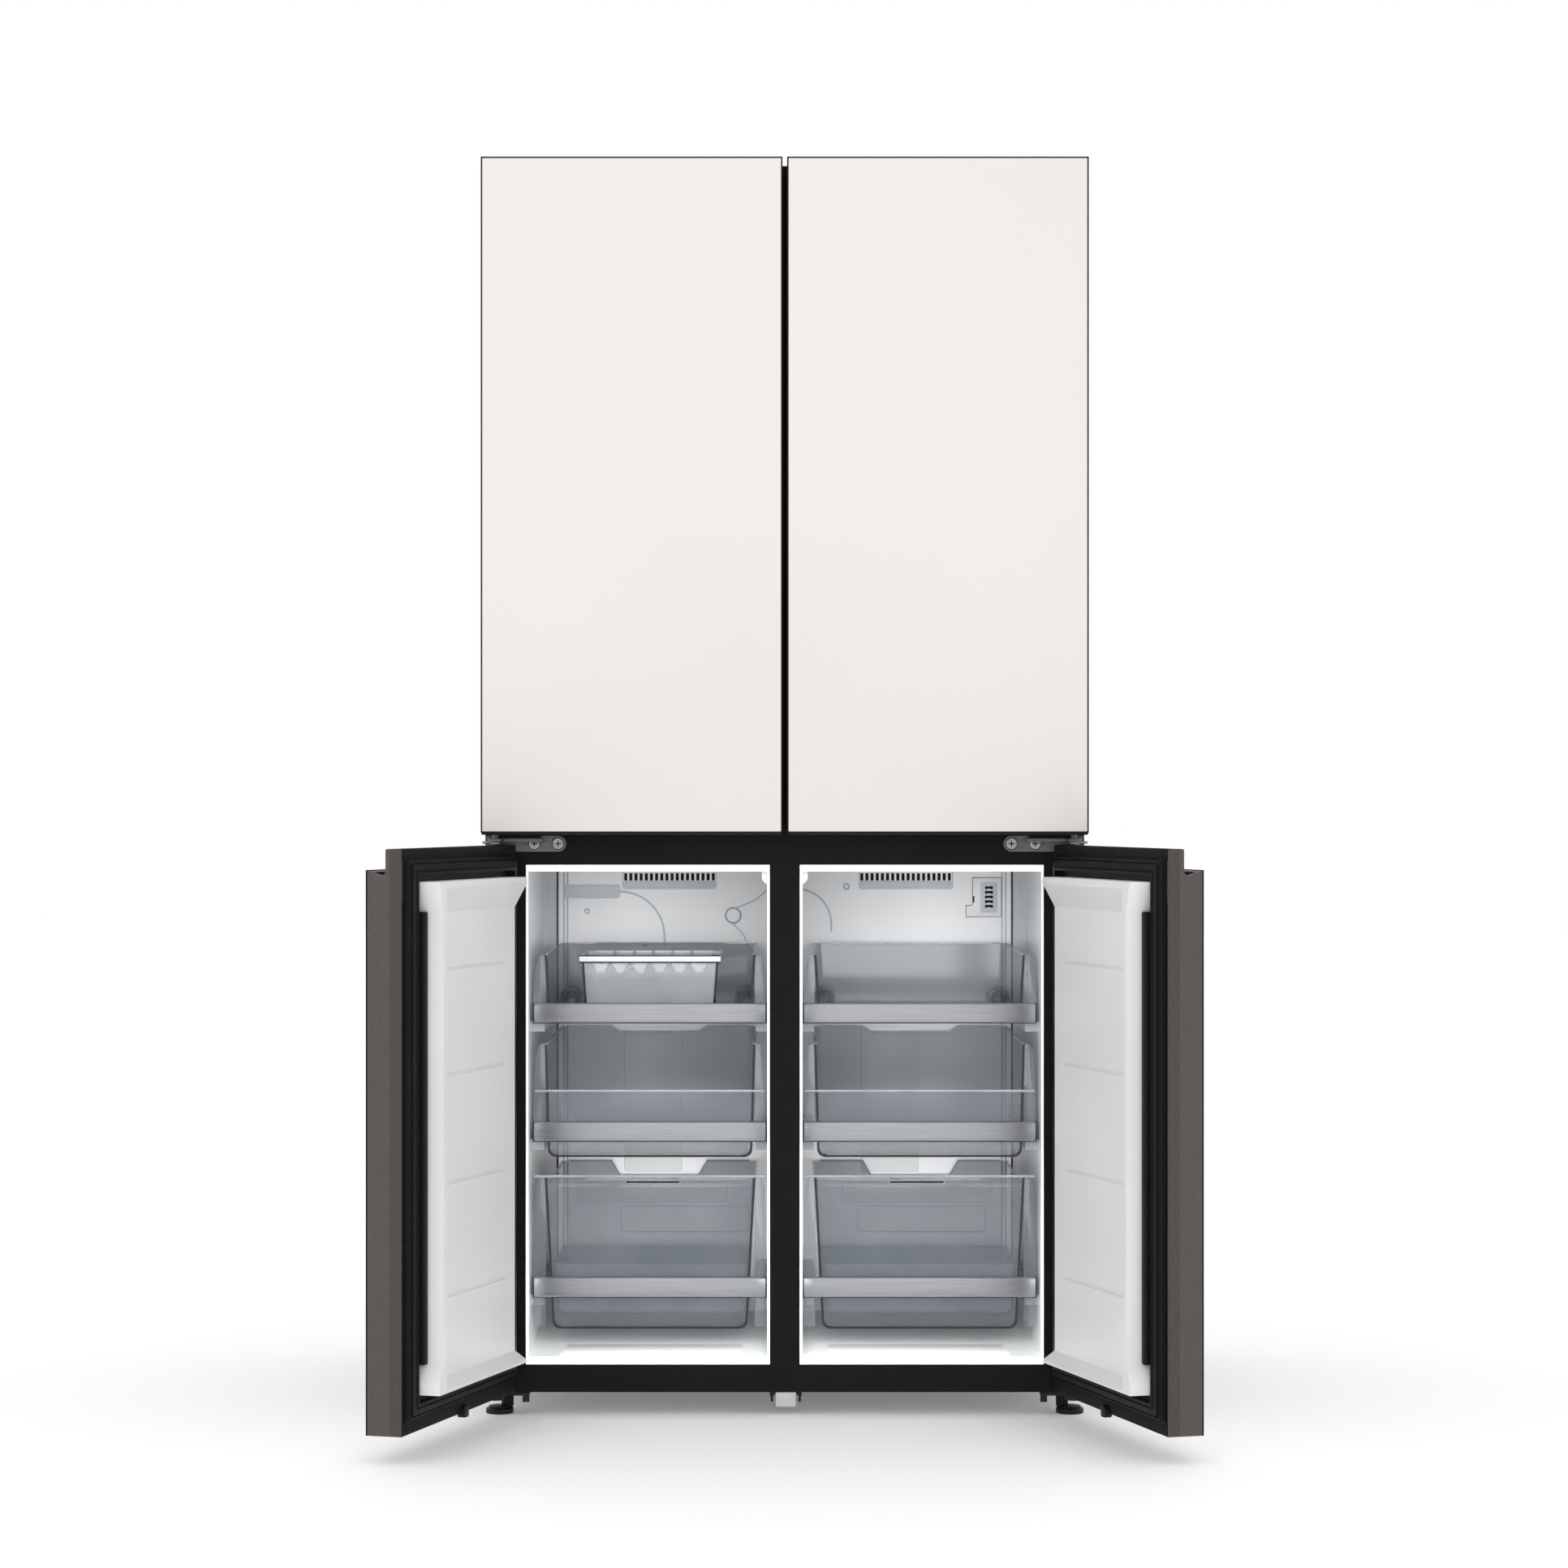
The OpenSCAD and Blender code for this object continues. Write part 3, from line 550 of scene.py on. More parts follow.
# ---------------------------------------------------------------- doors
def door_panes():
    """The glass of each door in its black bead, and the lip under each upper door."""
    for side in SIDES:
        for row, low, high in (("upper", 882, 1888), ("lower", 42, 830)):
            pane = block((-452, -5.5), (0, 4), (low, high), 1.2, 3)
            fit(pane, f"{row}_{side}_pane", f"{row}_{side}_door", GLASS, side,
                row == "lower", [f"{row}_{side}_glass"])
            beads = [block(x, (0.2, 3), (low - 2, high + 2), 0.2, 1)
                     for x in ((-454.1, -452), (-5.5, -3.4))]
            beads += [block((-454, -3.5), (0.2, 3), z, 0.2, 1)
                      for z in ((low - 2.1, low), (high, high + 2.1))]
            fit(join(beads), f"{row}_{side}_pane_bead", f"{row}_{side}_door", BLACK_PLASTIC,
                side, row == "lower")
        lip = block((-453, -5), (1.6, 9), (877, 880.2), 0.4, 2)
        fit(lip, f"upper_{side}_bottom_lip", f"upper_{side}_door", BLACK_PLASTIC,
            side)


# The seals' ribs from the outside in: each one's width, and its rise as a share of the height.
SEAL_RIBS = ((2.0, 0), (0.6, 0.5), (2.4, 0), (0.6, -0.16), (1.2, 0), (0.8, 0.36), (8.4, 0.1),
             (0.8, -0.14), (1.2, 0), (0.8, 0.24), (4.0, 0), (0.8, -0.8))
RELAXED_SEAL = 13.3
PRESSED_SEAL = 7.6


def seal_ring(x, z, height, ringed):
    """A ribbed bellows seal: insets of a block's inner face, each raised or lowered.

    A ringed one is open in its middle, so that the door's inner sheet shows through it."""
    seal = block(x, (54.2, 58), z)
    pick(seal, "faces", lambda face: face.normal.y > 0.9)
    for width, rise in SEAL_RIBS:
        bpy.ops.mesh.inset(thickness=width * MM, depth=rise * height * MM, use_even_offset=True)
    if ringed:
        bpy.ops.mesh.delete(type="FACE")
        done()
        pick(seal, "faces", lambda face: face.normal.y < -0.9 and face.calc_area() > 0.1)
        bpy.ops.mesh.inset(thickness=sum(rib[0] for rib in SEAL_RIBS) * MM, use_even_offset=True)
        bpy.ops.mesh.delete(type="FACE")
        done()
        pick(seal, "edges", lambda edge: edge.is_boundary)
        bpy.ops.mesh.bridge_edge_loops()
    done()
    return seal


def door_seals():
    """Seals of all doors. The open lower doors' are relaxed."""
    for side in SIDES:
        for row, z in (("upper", (889, 1864)), ("lower", (60, 847))):
            lower = row == "lower"
            height = RELAXED_SEAL if lower else PRESSED_SEAL
            seal = seal_ring((-433, -8.5), z, height, not lower)
            if lower:
                lip = block((-49, -36), (56, 76), (137, 773), 2, 3)
                seal = join([seal, lip])
            fit(seal, f"{row}_{side}_seal", f"{row}_{side}_door", SEAL, side,
                lower, [f"{row}_{side}_gasket"], 50)
            if lower:
                low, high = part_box(f"lower_{side}_frame")
                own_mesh(seal)


GROOVES = (225, 385, 540, 690)
HALF_GROOVE = 2.6


def lower_inner_sheets():
    """The lower doors' white inner sheets: thick caps above and below, a raised free edge."""
    for side in SIDES:
        sheet = block((-383, -35), (54, 80), (95, 815))
        cut(sheet, "x", -71, -49)
        cut(sheet, "z", 112, 139, 771)
        pick(sheet, "faces", lambda face: -49 < middle_of(face)[0] and
             139 < middle_of(face)[2] < 771 and abs(face.normal.x) > 0.9)
        shift(x=-14)
        pick(sheet, "faces", lambda face: face.normal.y > 0.9 and
             (not 112 < middle_of(face)[2] < 771 or middle_of(face)[0] > -71))
        push(depth=19)
        for edge, move in ((771, 34), (112, -13)):
            pick(sheet, "verts", lambda vert: spot_of(vert)[1] > 98 and
                 abs(spot_of(vert)[2] - edge) < 1 and spot_of(vert)[0] < -60)
            shift(z=move)
        pick(sheet, "verts", lambda vert: spot_of(vert)[1] > 98 and
             abs(spot_of(vert)[0] + 71) < 1)
        shift(x=8)
        take(sheet)
        round_edges(sheet, 4.5, 4, 25)
        cut(sheet, "z", *[z + half for z in GROOVES for half in (-HALF_GROOVE, HALF_GROOVE)])
        cut(sheet, "x", -349, -97)
        pick(sheet, "faces", lambda face: face.normal.y > 0.9 and
             -349 < middle_of(face)[0] < -97 and abs(middle_of(face)[1] - 80) < 0.5 and
             any(abs(middle_of(face)[2] - z) < HALF_GROOVE for z in GROOVES))
        push(depth=-2.2)
        done()
        fit(sheet, f"lower_{side}_inner_sheet", f"lower_{side}_door", DOOR_LINER,
            side, True, [f"lower_{side}_liner"], 30)


def lower_door_trims():
    """Rear edge strips, the black finger pocket, dark trims at both ends and the stop block."""
    for side in SIDES:
        body = f"lower_{side}_door"
        strip = outline([(37, 40.4), (37, 861.4), (54.2, 861.4), (54.2, 40.4)], -3.4, -2.9)
        fit(strip, f"lower_{side}_edge_strip", body, DOOR_EDGE_REAR, side, True)
        pocket = block((-407, -10), (9.6, 29.4), (797, 799.5), 0.8)
        wall = block((-407, -10), (28.8, 30.2), (797, 829), 0.6)
        fit(join([pocket, wall]), f"lower_{side}_finger_pocket", body, BLACK_PLASTIC,
            side, True)
        top = block((-452, -5), (31, 53.4), (860.6, 861.6), 0.4)
        fit(top, f"lower_{side}_top_trim", body, TRIM_PLASTIC, side, True)
        trim = join([block((-452, -5), (53.6, 54.9), z, 0.5) for z in ((40.6, 61), (845, 861.2))])
        fit(trim, f"lower_{side}_back_trims", body, TRIM_PLASTIC, side, True)
        stop = outline([(-243, 36), (-241, 34), (-229, 34), (-226, 37), (-226, 47), (-230, 51),
                        (-243, 51)], 50, 62, "y", 1.2, 3)
        groove = block((-246, -243.4), (54, 57), (38, 50), 0.6)
        fit(join([stop, groove]), f"lower_{side}_door_stop", body, BLACK_PLASTIC,
            side, True)


door_panes()
door_seals()
lower_inner_sheets()
lower_door_trims()


# ---------------------------------------------------------------- freezer bays
BACK = reach("freezer_back_covers")[1][0]
BAY_FLOOR = 89


def on_back(piece, name, material):
    return fit(piece, name, "cabinet", material)


def freezer_backs():
    """Grilles and the mouldings of the two back covers, which differ from side to side. A black
    plate behind each grille is painted shade; the relief and its lines are painted darker shades of
    the wall.
    """
    for side, left, right in (("left", -265.5, -112.5), ("right", 122, 275)):
        # A black plate behind each grille's slots stands in for the shade inside them: painted
        # shade.
        shade = block((left, right), (BACK + 3.2, BACK + 4.4), (792, 810), 0.3)
        on_back(shade, f"{side}_grille_shade", BLACK_PLASTIC)
        # The lip under the grille is painted a darker shade of the wall: painted shade.
        lip = outline(rounded((left + 1, right - 1), (783.5, 795.2), 4), BACK - 0.8, BACK + 0.4,
                      "y", 0.5)
        on_back(lip, f"{side}_grille_lip", FREEZER_RELIEF_PAINTED_SHADE)
        # The edge round the grille is a painted shade line.
        edge = ribbon([(left, 812), (left, 787)] + arc((left + 4, 786), 4, 180, 270, 5) +
                      arc((right - 4, 786), 4, -90, 0, 5) + [(right, 812)], 1.3, BACK - 1.1,
                      BACK + 0.4)
        on_back(edge, f"{side}_grille_edge", FREEZER_PAINTED_SHADE)
        centre = (left + right) / 2
        duct = outline(rounded((centre - 74, centre + 21), (318, 556), 6), BACK - 2.5,
                       BACK + 0.4, "y", 1)
        on_back(duct, f"{side}_duct_panel", LINER)
        ledge_x = (-340, -93) if side == "left" else (93, 340)
        ledge = outline(rounded(ledge_x, (268, 302), 6), BACK - 7, BACK + 0.4, "y", 2)
        on_back(ledge, f"{side}_duct_ledge", LINER)
        # The outline of the low panel is a painted shade line.
        recess = rounded((centre - 79, centre + 130), (220, 262), 7)
        on_back(ribbon(recess + recess[:2], 1.4, BACK - 0.9, BACK + 0.4),
                f"{side}_low_panel_edge", FREEZER_PAINTED_SHADE)
    # The band is painted a darker shade of the wall: painted shade.
    band = outline(rounded((-361, -270), (766.5, 789), 4), BACK - 1, BACK + 0.4, "y", 0.6)
    on_back(band, "left_band", FREEZER_RELIEF_PAINTED_SHADE)
    # The moulded lines and rings are painted in a darker tone: painted shade lines.
    lines = [ribbon(arc((-270.2, 704.5), 73, 92, 0) + [(-197, 688)], 3.0, BACK - 1.2, BACK + 0.4),
             ring((-324, BACK - 0.2, 745.5), 3.4, 1.0), ring((-228.7, BACK - 0.2, 691), 3.4, 1.0),
             ring((-84.6, BACK - 0.2, 738.4), 12.4, 1.5),
             ribbon([(-79, 751), (-49, 763), (-30, 779)], 2.2, BACK - 1, BACK + 0.4),
             ribbon([(-85.3, 725.5), (-66.8, 705.7), (-60.8, 688), (-46, 672)], 1.8,
                    BACK - 1, BACK + 0.4)]
    on_back(join(lines), "left_moulded_lines", FREEZER_PAINTED_SHADE)
    # The right back's moulded lines and ring are painted shade lines too.
    lines = [ribbon(arc((19.2, 725), 57, 98, 0) + [(76.2, 712)], 2.8, BACK - 1.2, BACK + 0.4),
             ring((101, BACK - 0.2, 785.8), 4.2, 1.2)]
    on_back(join(lines), "right_moulded_lines", FREEZER_PAINTED_SHADE)


def sensor_cover():
    """The thermometer cover at the right back: a stepped plate with five louvres."""
    plate = [(307.9, 800.2), (354.8, 800.2), (354.8, 735.9), (297.2, 735.9), (297.2, 754.5),
             (306.5, 755), (308.5, 759), (308.5, 771), (307.9, 773)]
    on_back(outline(plate, BACK - 1.6, BACK + 0.4, "y", 0.8), "sensor_plate", FREEZER_WALL)
    rim = ribbon(plate + plate[:2], 1.3, BACK - 1.4, BACK + 0.4)
    clasp = block((307.5, 310.8), (BACK - 2, BACK), (760, 770), 0.5)
    on_back(join([rim, clasp]), "sensor_plate_joint", DARK_EDGE)
    # The sensor panel is painted a darker shade of the wall: painted shade.
    panel = outline(rounded((320.5, 348), (743, 793), 3.5), BACK - 2.4, BACK, "y", 0.7)
    on_back(panel, "sensor_panel", FREEZER_RELIEF_PAINTED_SHADE)
    slots, bars = [], []
    for i in range(5):
        z = 753.3 + i * 7.6
        slots.append(block((328, 341.2), (BACK - 2.9, BACK - 1), (z - 2.4, z + 2.4), 0.6))
        bars.append(block((331.5, 337.7), (BACK - 3.3, BACK - 1), (z - 3.6, z - 1.7), 0.4))
    on_back(join(slots), "sensor_louvres", BLACK_PLASTIC)
    on_back(join(bars), "sensor_louvre_bars", WHITE_PLASTIC)


def bay_walls():
    """Coves where the side walls meet the backs, their joint lines, and the floor plates."""
    for side in SIDES:
        cove = outline([(-387.4, 468), (-385.6, 474), (-384.4, 500), (-381, 535), (-376, 560),
                        (-374, 572), (-373.4, BACK + 0.4), (-387.4, BACK + 0.4)],
                       BAY_FLOOR, 821, "z", 0.8)
        fit(cove, f"{side}_bay_cove", "cabinet", FREEZER_WALL, side)
        joint = block((-375.5, -370.8), (BACK - 3, BACK + 0.2), (BAY_FLOOR + 1, 820), 0.3)
        fit(joint, f"{side}_bay_joint", "cabinet", DARK_EDGE, side)
        # The two ribs are painted in a darker tone: painted shade lines.
        ribs = [block((x - 1.2, x + 1.2), (BACK - 0.9, BACK + 0.3), (BAY_FLOOR + 2, 818), 0.4)
                for x in (-362, -356)]
        fit(join(ribs), f"{side}_back_ribs", "cabinet", FREEZER_PAINTED_SHADE, side)
        stop = outline([(-24, 822), (-35, 822), (-35, 808), (-29, 801), (-24, 801)], 104, 122,
                       "y", 1, 2)
        fit(stop, f"{side}_bay_corner_stop", "cabinet", LINER, side)
        floor = outline([(-340, 84), (-64, 84), (-66, 187), (-334, 187)], BAY_FLOOR - 0.4,
                        BAY_FLOOR + 1.6, "z", 0.8)
        fit(floor, f"{side}_bay_floor_plate", "cabinet", LINER, side)


freezer_backs()
sensor_cover()
bay_walls()


# ---------------------------------------------------------------- freezer drawers
BIN_LEFT, BIN_RIGHT = -364, -46
BIN_MIDDLE = (BIN_LEFT + BIN_RIGHT) / 2
BIN_BACK = 570
WING = 19
DRAWERS = {"bottom": {"low": 125, "top": 338, "front": 357, "draft": 11, "wing": 127, "dip": 24},
           "middle": {"low": 386, "top": 558, "front": 487, "draft": 4, "wing": 410, "dip": 9},
           "top": {"low": 590, "top": 694, "front": 604, "draft": 5, "wing": 590, "dip": 0}}


def open_bin(x, depth, z, draft, low_corner, back_corner, dip=0.0, front=None, wall=2.4):
    """A thin-walled bin, open above, its lower edges round and its side walls leaning out."""
    low, top = z
    middle = sum(x) / 2
    shell = block(x, depth, z)
    for left_side in (True, False):
        pick(shell, "verts", lambda vert: spot_of(vert)[2] < low + 1 and
             (spot_of(vert)[0] < middle) == left_side)
        shift(x=draft if left_side else -draft)
    pick(shell, "edges", lambda edge: all(spot_of(vert)[2] < low + 1 for vert in edge.verts))
    bpy.ops.mesh.bevel(offset=low_corner * MM, segments=5, affect="EDGES")
    done()
    pick(shell, "edges", lambda edge: abs(edge.verts[0].co.z - edge.verts[1].co.z) > 20 * MM and
         all(spot_of(vert)[1] > depth[1] - 6 for vert in edge.verts))
    bpy.ops.mesh.bevel(offset=back_corner * MM, segments=4, affect="EDGES")
    done()
    pick(shell, "faces", lambda face: face.normal.z > 0.9 and middle_of(face)[2] > top - 1)
    bpy.ops.mesh.delete(type="FACE")
    done()
    if front and front < top - 1:
        cut(shell, "z", front)
        pick(shell, "faces", lambda face: face.normal.y < -0.9 and middle_of(face)[2] > front)
        bpy.ops.mesh.delete(type="FACE")
        done()
    if dip:
        cut(shell, "x", middle - 78, middle - 64, middle + 64, middle + 78)
        pick(shell, "verts", lambda vert: abs(spot_of(vert)[0] - middle) < 65 and
             spot_of(vert)[1] > depth[1] - 5 and spot_of(vert)[2] > top - 1)
        shift(z=-dip)
        done()
    return modify(shell, "SOLIDIFY", thickness=wall * MM, offset=-1)


def across(piece, middle=BIN_MIDDLE):
    """A copy of a piece on the other side of its bin."""
    other = piece.copy()
    other.data = piece.data.copy()
    bpy.context.collection.objects.link(other)
    take(other)
    other.scale.x = -1
    other.location.x = 2 * middle * MM
    bpy.ops.object.transform_apply(location=True, rotation=True, scale=True)
    face_outwards(other)
    return other


def wing_shape(low, top):
    """The flange beside a bin's front, its lower corner round, leaning in towards its top."""
    edge = BIN_LEFT - WING
    points = [(BIN_LEFT + 0.5, low)] + arc((edge + 8, low + 8), 8, -90, -180, 5)
    points += [(edge, low + 40), (edge + 3, top - 22), (edge + 8, top - 4), (edge + 12, top),
               (BIN_LEFT + 0.5, top)]
    return outline(points, 116, 119, "y", 0.8, 2)


def back_top(x, top, dip):
    """Points along the top of a bin's back wall."""
    if not dip:
        return [(x[0] + 12, top), (x[1] - 12, top)]
    return [(x[0] + 12, top), (BIN_MIDDLE - 78, top), (BIN_MIDDLE - 64, top - dip),
            (BIN_MIDDLE + 64, top - dip), (BIN_MIDDLE + 78, top), (x[1] - 12, top)]


def edge_line(low, top, draft):
    """The dark line that light leaves along a clear bin's front edge."""
    left, right = BIN_LEFT + draft, BIN_RIGHT - draft
    points = [(BIN_LEFT + 0.6, top - 1)] + arc((left + 12, low + 12), 11, 180, 270, 6)
    points += arc((right - 12, low + 12), 11, -90, 0, 6) + [(BIN_RIGHT - 0.6, top - 1)]
    line = ribbon(points, 3.4, 114.2, 115.7)
    corner = ribbon(arc((left + 12, low + 12), 10.6, 195, 282, 8), 4.2, 113.9, 115.6)
    return join([line, corner, across(corner)])


def handle_bar(low):
    """A brushed bar with a softly bowed face and turned-in edges."""
    high = low + 30
    return outline([(116, low), (107, low), (105.2, low + 1.4), (104.3, low + 7),
                    (104, low + 15), (104.3, low + 23), (105.2, high - 1.6), (107.2, high),
                    (116, high)], -381, -29, "x", 0.7, 2)


def wheel_arch(low):
    """The moulding in a top drawer's rear lower corner, over the runner's wheel."""
    points = [(-361, low)] + arc((-346, low + 16), 15, 180, 0, 10) + [(-331, low)]
    inner = [(-354.5, low)] + arc((-346, low + 15), 8.5, 180, 0, 10) + [(-337.5, low)]
    return join([ribbon(points, 4.2, 470, 566, 1), ribbon(inner, 3, 480, 566, 0.8)])


def drawers():
    for side in SIDES:
        for level in LEVELS:
            body = f"{side}_{level}_drawer"
            size = DRAWERS[level]
            low, top, front = size["low"], size["top"], size["front"]
            bar_low = reach(f"{side}_{level}_bar")[2][0]
            parts = [open_bin((BIN_LEFT, BIN_RIGHT), (116, BIN_BACK), (low, top), size["draft"],
                              12, 14, size["dip"], front)]
            wing = wing_shape(size["wing"], max(front, top))
            parts += [wing, across(wing)]
            if front > top:
                parts.append(block((BIN_LEFT, BIN_RIGHT), (116, 119), (top, front), 0.8, 2))
            if level == "top":
                arch = wheel_arch(low + 3)
                parts += [arch, across(arch)]
            fit(join(parts), f"{side}_{level}_bin_shell", body, SMOKE, side,
                False, [f"{side}_{level}_bin"])
            # Rims, runners and the front rim are painted lighter than the bin: painted highlight
            # along its edges.
            runner = block((BIN_LEFT - WING + 2, BIN_LEFT + 0.5), (119, 550),
                           (bar_low + 2, bar_low + 5), 0.8, 2)
            rim = block((BIN_LEFT - 1, BIN_LEFT + 3), (119, 560), (top - 2, top + 1), 1, 2)
            rims = [runner, across(runner), rim, across(rim),
                    ribbon(back_top((BIN_LEFT, BIN_RIGHT), top, size["dip"]), 2.6, 566, 571)]
            if level != "top":
                rims.append(outline(rounded((BIN_LEFT - WING + 2, BIN_RIGHT + WING - 2),
                                            (front - 3, front + 1), 1.8), 113.5, 119.5, "y", 0.8))
            fit(join(rims), f"{side}_{level}_bin_rims", body, SMOKE_PAINTED_HIGHLIGHT, side)
            # The dark line along the bin's front edge is painted shade that light leaves in the
            # clear plastic.
            line = edge_line(low, max(top, front), size["draft"])
            tooth = block((BIN_LEFT + size["draft"] + 14, BIN_LEFT + size["draft"] + 15.5),
                          (113.7, 115.2), (low - 0.4, low + 2))
            count = int((BIN_RIGHT - BIN_LEFT - 2 * size["draft"] - 28) / 3)
            fit(join([line, row_of(tooth, count, 3)]), f"{side}_{level}_bin_edge", body,
                DARK_EDGE, side)
            fit(handle_bar(bar_low), f"{side}_{level}_handle_bar", body, BAR, side,
                False, [f"{side}_{level}_bar"])
            cap = block((-383, -381), (104.3, 117), (bar_low - 0.8, bar_low + 30.5), 0.6, 2)
            under = block((-381, BIN_MIDDLE), (109, 116), (bar_low - 1, bar_low + 0.2), 0.3)
            fit(join([cap, across(cap), under, across(under)]), f"{side}_{level}_bar_caps",
                body, DARK_EDGE, side)
        grip = block((-242, -160), (113.2, 115), (345.8, 349.2), 0.8, 2)
        # The surround of the grip is painted lighter than the bin: painted highlight.
        surround = outline(rounded((-243.5, -158.5), (344.4, 350.6), 2.6), 113.9, 115.4, "y")
        fit(surround, f"{side}_bottom_grip_edge", f"{side}_bottom_drawer", SMOKE_PAINTED_HIGHLIGHT,
            side)
        fit(grip, f"{side}_bottom_grip", f"{side}_bottom_drawer", DARK_EDGE,
            side)


def inner_trays():
    """The lilac trays that stand in the bottom drawers."""
    for side in SIDES:
        tray = open_bin((-350, -60), (150, 400), (143, 218), 7, 8, 10, wall=2)
        rim = outline(rounded((-353, -57), (215.5, 219), 1.6), 148, 151.5, "y", 0.6)
        side_rim = block((-353, -348.5), (150, 400), (215.5, 218.6), 0.8, 2)
        back_rim = block((-345, -65), (397.5, 401), (215.5, 218.6), 0.8, 2)
        tray = join([tray, rim, side_rim, across(side_rim, -205), back_rim])
        fit(tray, f"{side}_tray_shell", f"{side}_bottom_drawer", LILAC, side,
            False, [f"{side}_inner_tray"])
        # The dark line along the tray's lower front corners is painted shade that light leaves in
        # the clear plastic.
        line = ribbon(arc((-335, 152), 9, 190, 270, 5) + arc((-75, 152), 9, -90, -10, 5), 2.0,
                      148.4, 150)
        fit(line, f"{side}_tray_edge", f"{side}_bottom_drawer", DARK_EDGE, side)


def ice_maker():
    """The clear ice bin and the white ice tray on it, with its row of cups."""
    body = "left_top_drawer"
    middle = -207.5
    cup_step = 30.4
    bin_shell = open_bin((-311, -104), (190, 400), (594, 679), 6, 8, 8, wall=2)
    fit(bin_shell, "ice_bin_shell", body, ICE_CLEAR, "left", False, ["ice_bin"])
    # The dark lines down the ice bin's front edges are painted shade that light leaves in the clear
    # plastic.
    line = ribbon([(-311, 679), (-305.6, 602)], 3.4, 188.2, 189.8)
    fit(join([line, across(line, middle)]), "ice_bin_edges", body, DARK_EDGE)
    cup = block((-298.5, -270.5), (192, 294), (662, 680))
    pick(cup, "verts", lambda vert: spot_of(vert)[2] < 663)
    bpy.ops.transform.resize(value=(0.4, 0.82, 1))
    done()
    round_edges(cup, 3, 3)
    cups = row_of(cup, 6, cup_step)
    take(cups)
    far_cups = cups.copy()
    far_cups.data = cups.data.copy()
    bpy.context.collection.objects.link(far_cups)
    take(far_cups)
    far_cups.location.y = 103 * MM
    bpy.ops.object.transform_apply(location=True, rotation=True, scale=True)
    front = block((-316.5, -98.5), (184.4, 188), (679, 688.5), 1, 3)
    back = block((-316.5, -98.5), (401, 404.6), (681, 688.5), 1, 3)
    end = block((-316.5, -312.5), (186, 403), (680, 688.5), 1, 3)
    deck = block((-301, -114), (188, 401), (679.4, 684), 0.8)
    divider = block((-270.4, -268.2), (190, 400), (683, 688.6), 0.8, 2)
    pieces = [cups, far_cups, front, back, end, across(end, middle), deck,
              row_of(divider, 5, cup_step)]
    fit(join(pieces), "ice_tray", body, TRAY_PLASTIC)
    seam = join([block((-316.5, -98.5), (183.6, 185), z, 0.3, 1)
                 for z in ((677.6, 679.8), (687.8, 689.4))])
    fit(seam, "ice_tray_edges", body, DARK_EDGE)
    grip = block((-315, -301), (187, 402), (682, 689.6), 1.4, 3)
    fit(join([grip, across(grip, middle)]), "ice_tray_grips", body, SMOKE)


drawers()
inner_trays()
ice_maker()


# ---------------------------------------------------------------- hinges and feet
def small_metal():
    for side in SIDES:
        cover = block((-441.7, -368), (42, 60.6), (865.4, 874.3), 1, 3)
        fit(cover, f"{side}_hinge_cover", "cabinet", HINGE_DARK, side)
        recesses = []
        # Dark rings and crosses over the screws stand for the shade in their recesses: painted
        # shade.
        for x in (-377.7, -342):
            recesses.append(ring((x, 60.4, 863), 8.2, 0.7))
            recesses.append(block((x - 4.5, x + 4.5), (58.7, 60), (862.1, 863.9), 0.3, 1))
            recesses.append(block((x - 0.9, x + 0.9), (58.7, 60), (858.5, 867.5), 0.3, 1))
        fit(join(recesses), f"{side}_hinge_screw_recesses", "cabinet", HINGE_DARK,
            side)
        washer = rod((-434, 30, 862), 9, 3.4, "z", 32, 0.6)
        link = block((-454, -437), (23, 36), (863.4, 867.4), 1, 3)
        fit(join([washer, link]), f"{side}_hinge_link", "cabinet", ZINC, side)
        disc = rod((-432, 92, 0), 21, 8.5, "z", 40, 2)
        neck = rod((-432, 92, 8), 17, 3.5, "z", 40, 1)
        knob = block((-427, -411), (84, 100), (8, 34.5), 5, 4)
        grip = block((-429, -426.4), (88, 96), (10, 30), 0.8, 2)
        ribs = [grip]
        for i in range(4):
            ribs.append(block((-425 + 3.6 * i, -423.6 + 3.6 * i), (82.8, 85), (10, 32), 0.4, 2))
        fit(join([disc, neck, knob] + ribs), f"{side}_foot", "cabinet", BLACK_PLASTIC,
            side, False, ["levelling_feet"])


def centre_bracket():
    """The grey block under the bottom rail, between two black hooks with round ends."""
    top = reach("centre_block")[2][1]
    grey = block((-14, 17), (66.5, 92), (12.5, top), 1.6, 4)
    fit(grey, "centre_rest_block", "cabinet", GREY_PLASTIC,
        stands_for=["centre_block"])
    points = [(-22.6, top), (-22.6, top - 5), (-21.3, top - 7)]
    points += arc((-19.5, 22), 1.9, 180, 360, 8)
    points += [(-17.9, top - 7), (-16.9, top - 5), (-14.2, top - 4), (-14.2, top)]
    hook = outline(points, 67, 90, "y", 0.5, 2)
    fit(join([hook, across(hook, 1.5)]), "centre_hooks", "cabinet", BLACK_PLASTIC)


small_metal()
centre_bracket()


# ---------------------------------------------------------------- fridge room
def door_bins():
    for side in SIDES:
        bins, rails = [], []
        for z in (945, 1230, 1515):
            bins.append(open_bin((-356, -65), (58, 156), (z, z + 98), 2, 8, 12, wall=2.2))
            rails.append(block((-357, -64), (153, 158), (z + 90, z + 103), 1.8, 3))
            rails.append(block((-357, -353.5), (60, 154), (z + 90, z + 100), 1, 2))
            rails.append(block((-67.5, -64), (60, 154), (z + 90, z + 100), 1, 2))
        fit(join(bins), f"upper_{side}_door_bins", f"upper_{side}_door", CLEAR,
            side, False, [f"upper_{side}_bins"])
        fit(join(rails), f"upper_{side}_bin_rails", f"upper_{side}_door", WHITE_PLASTIC,
            side)


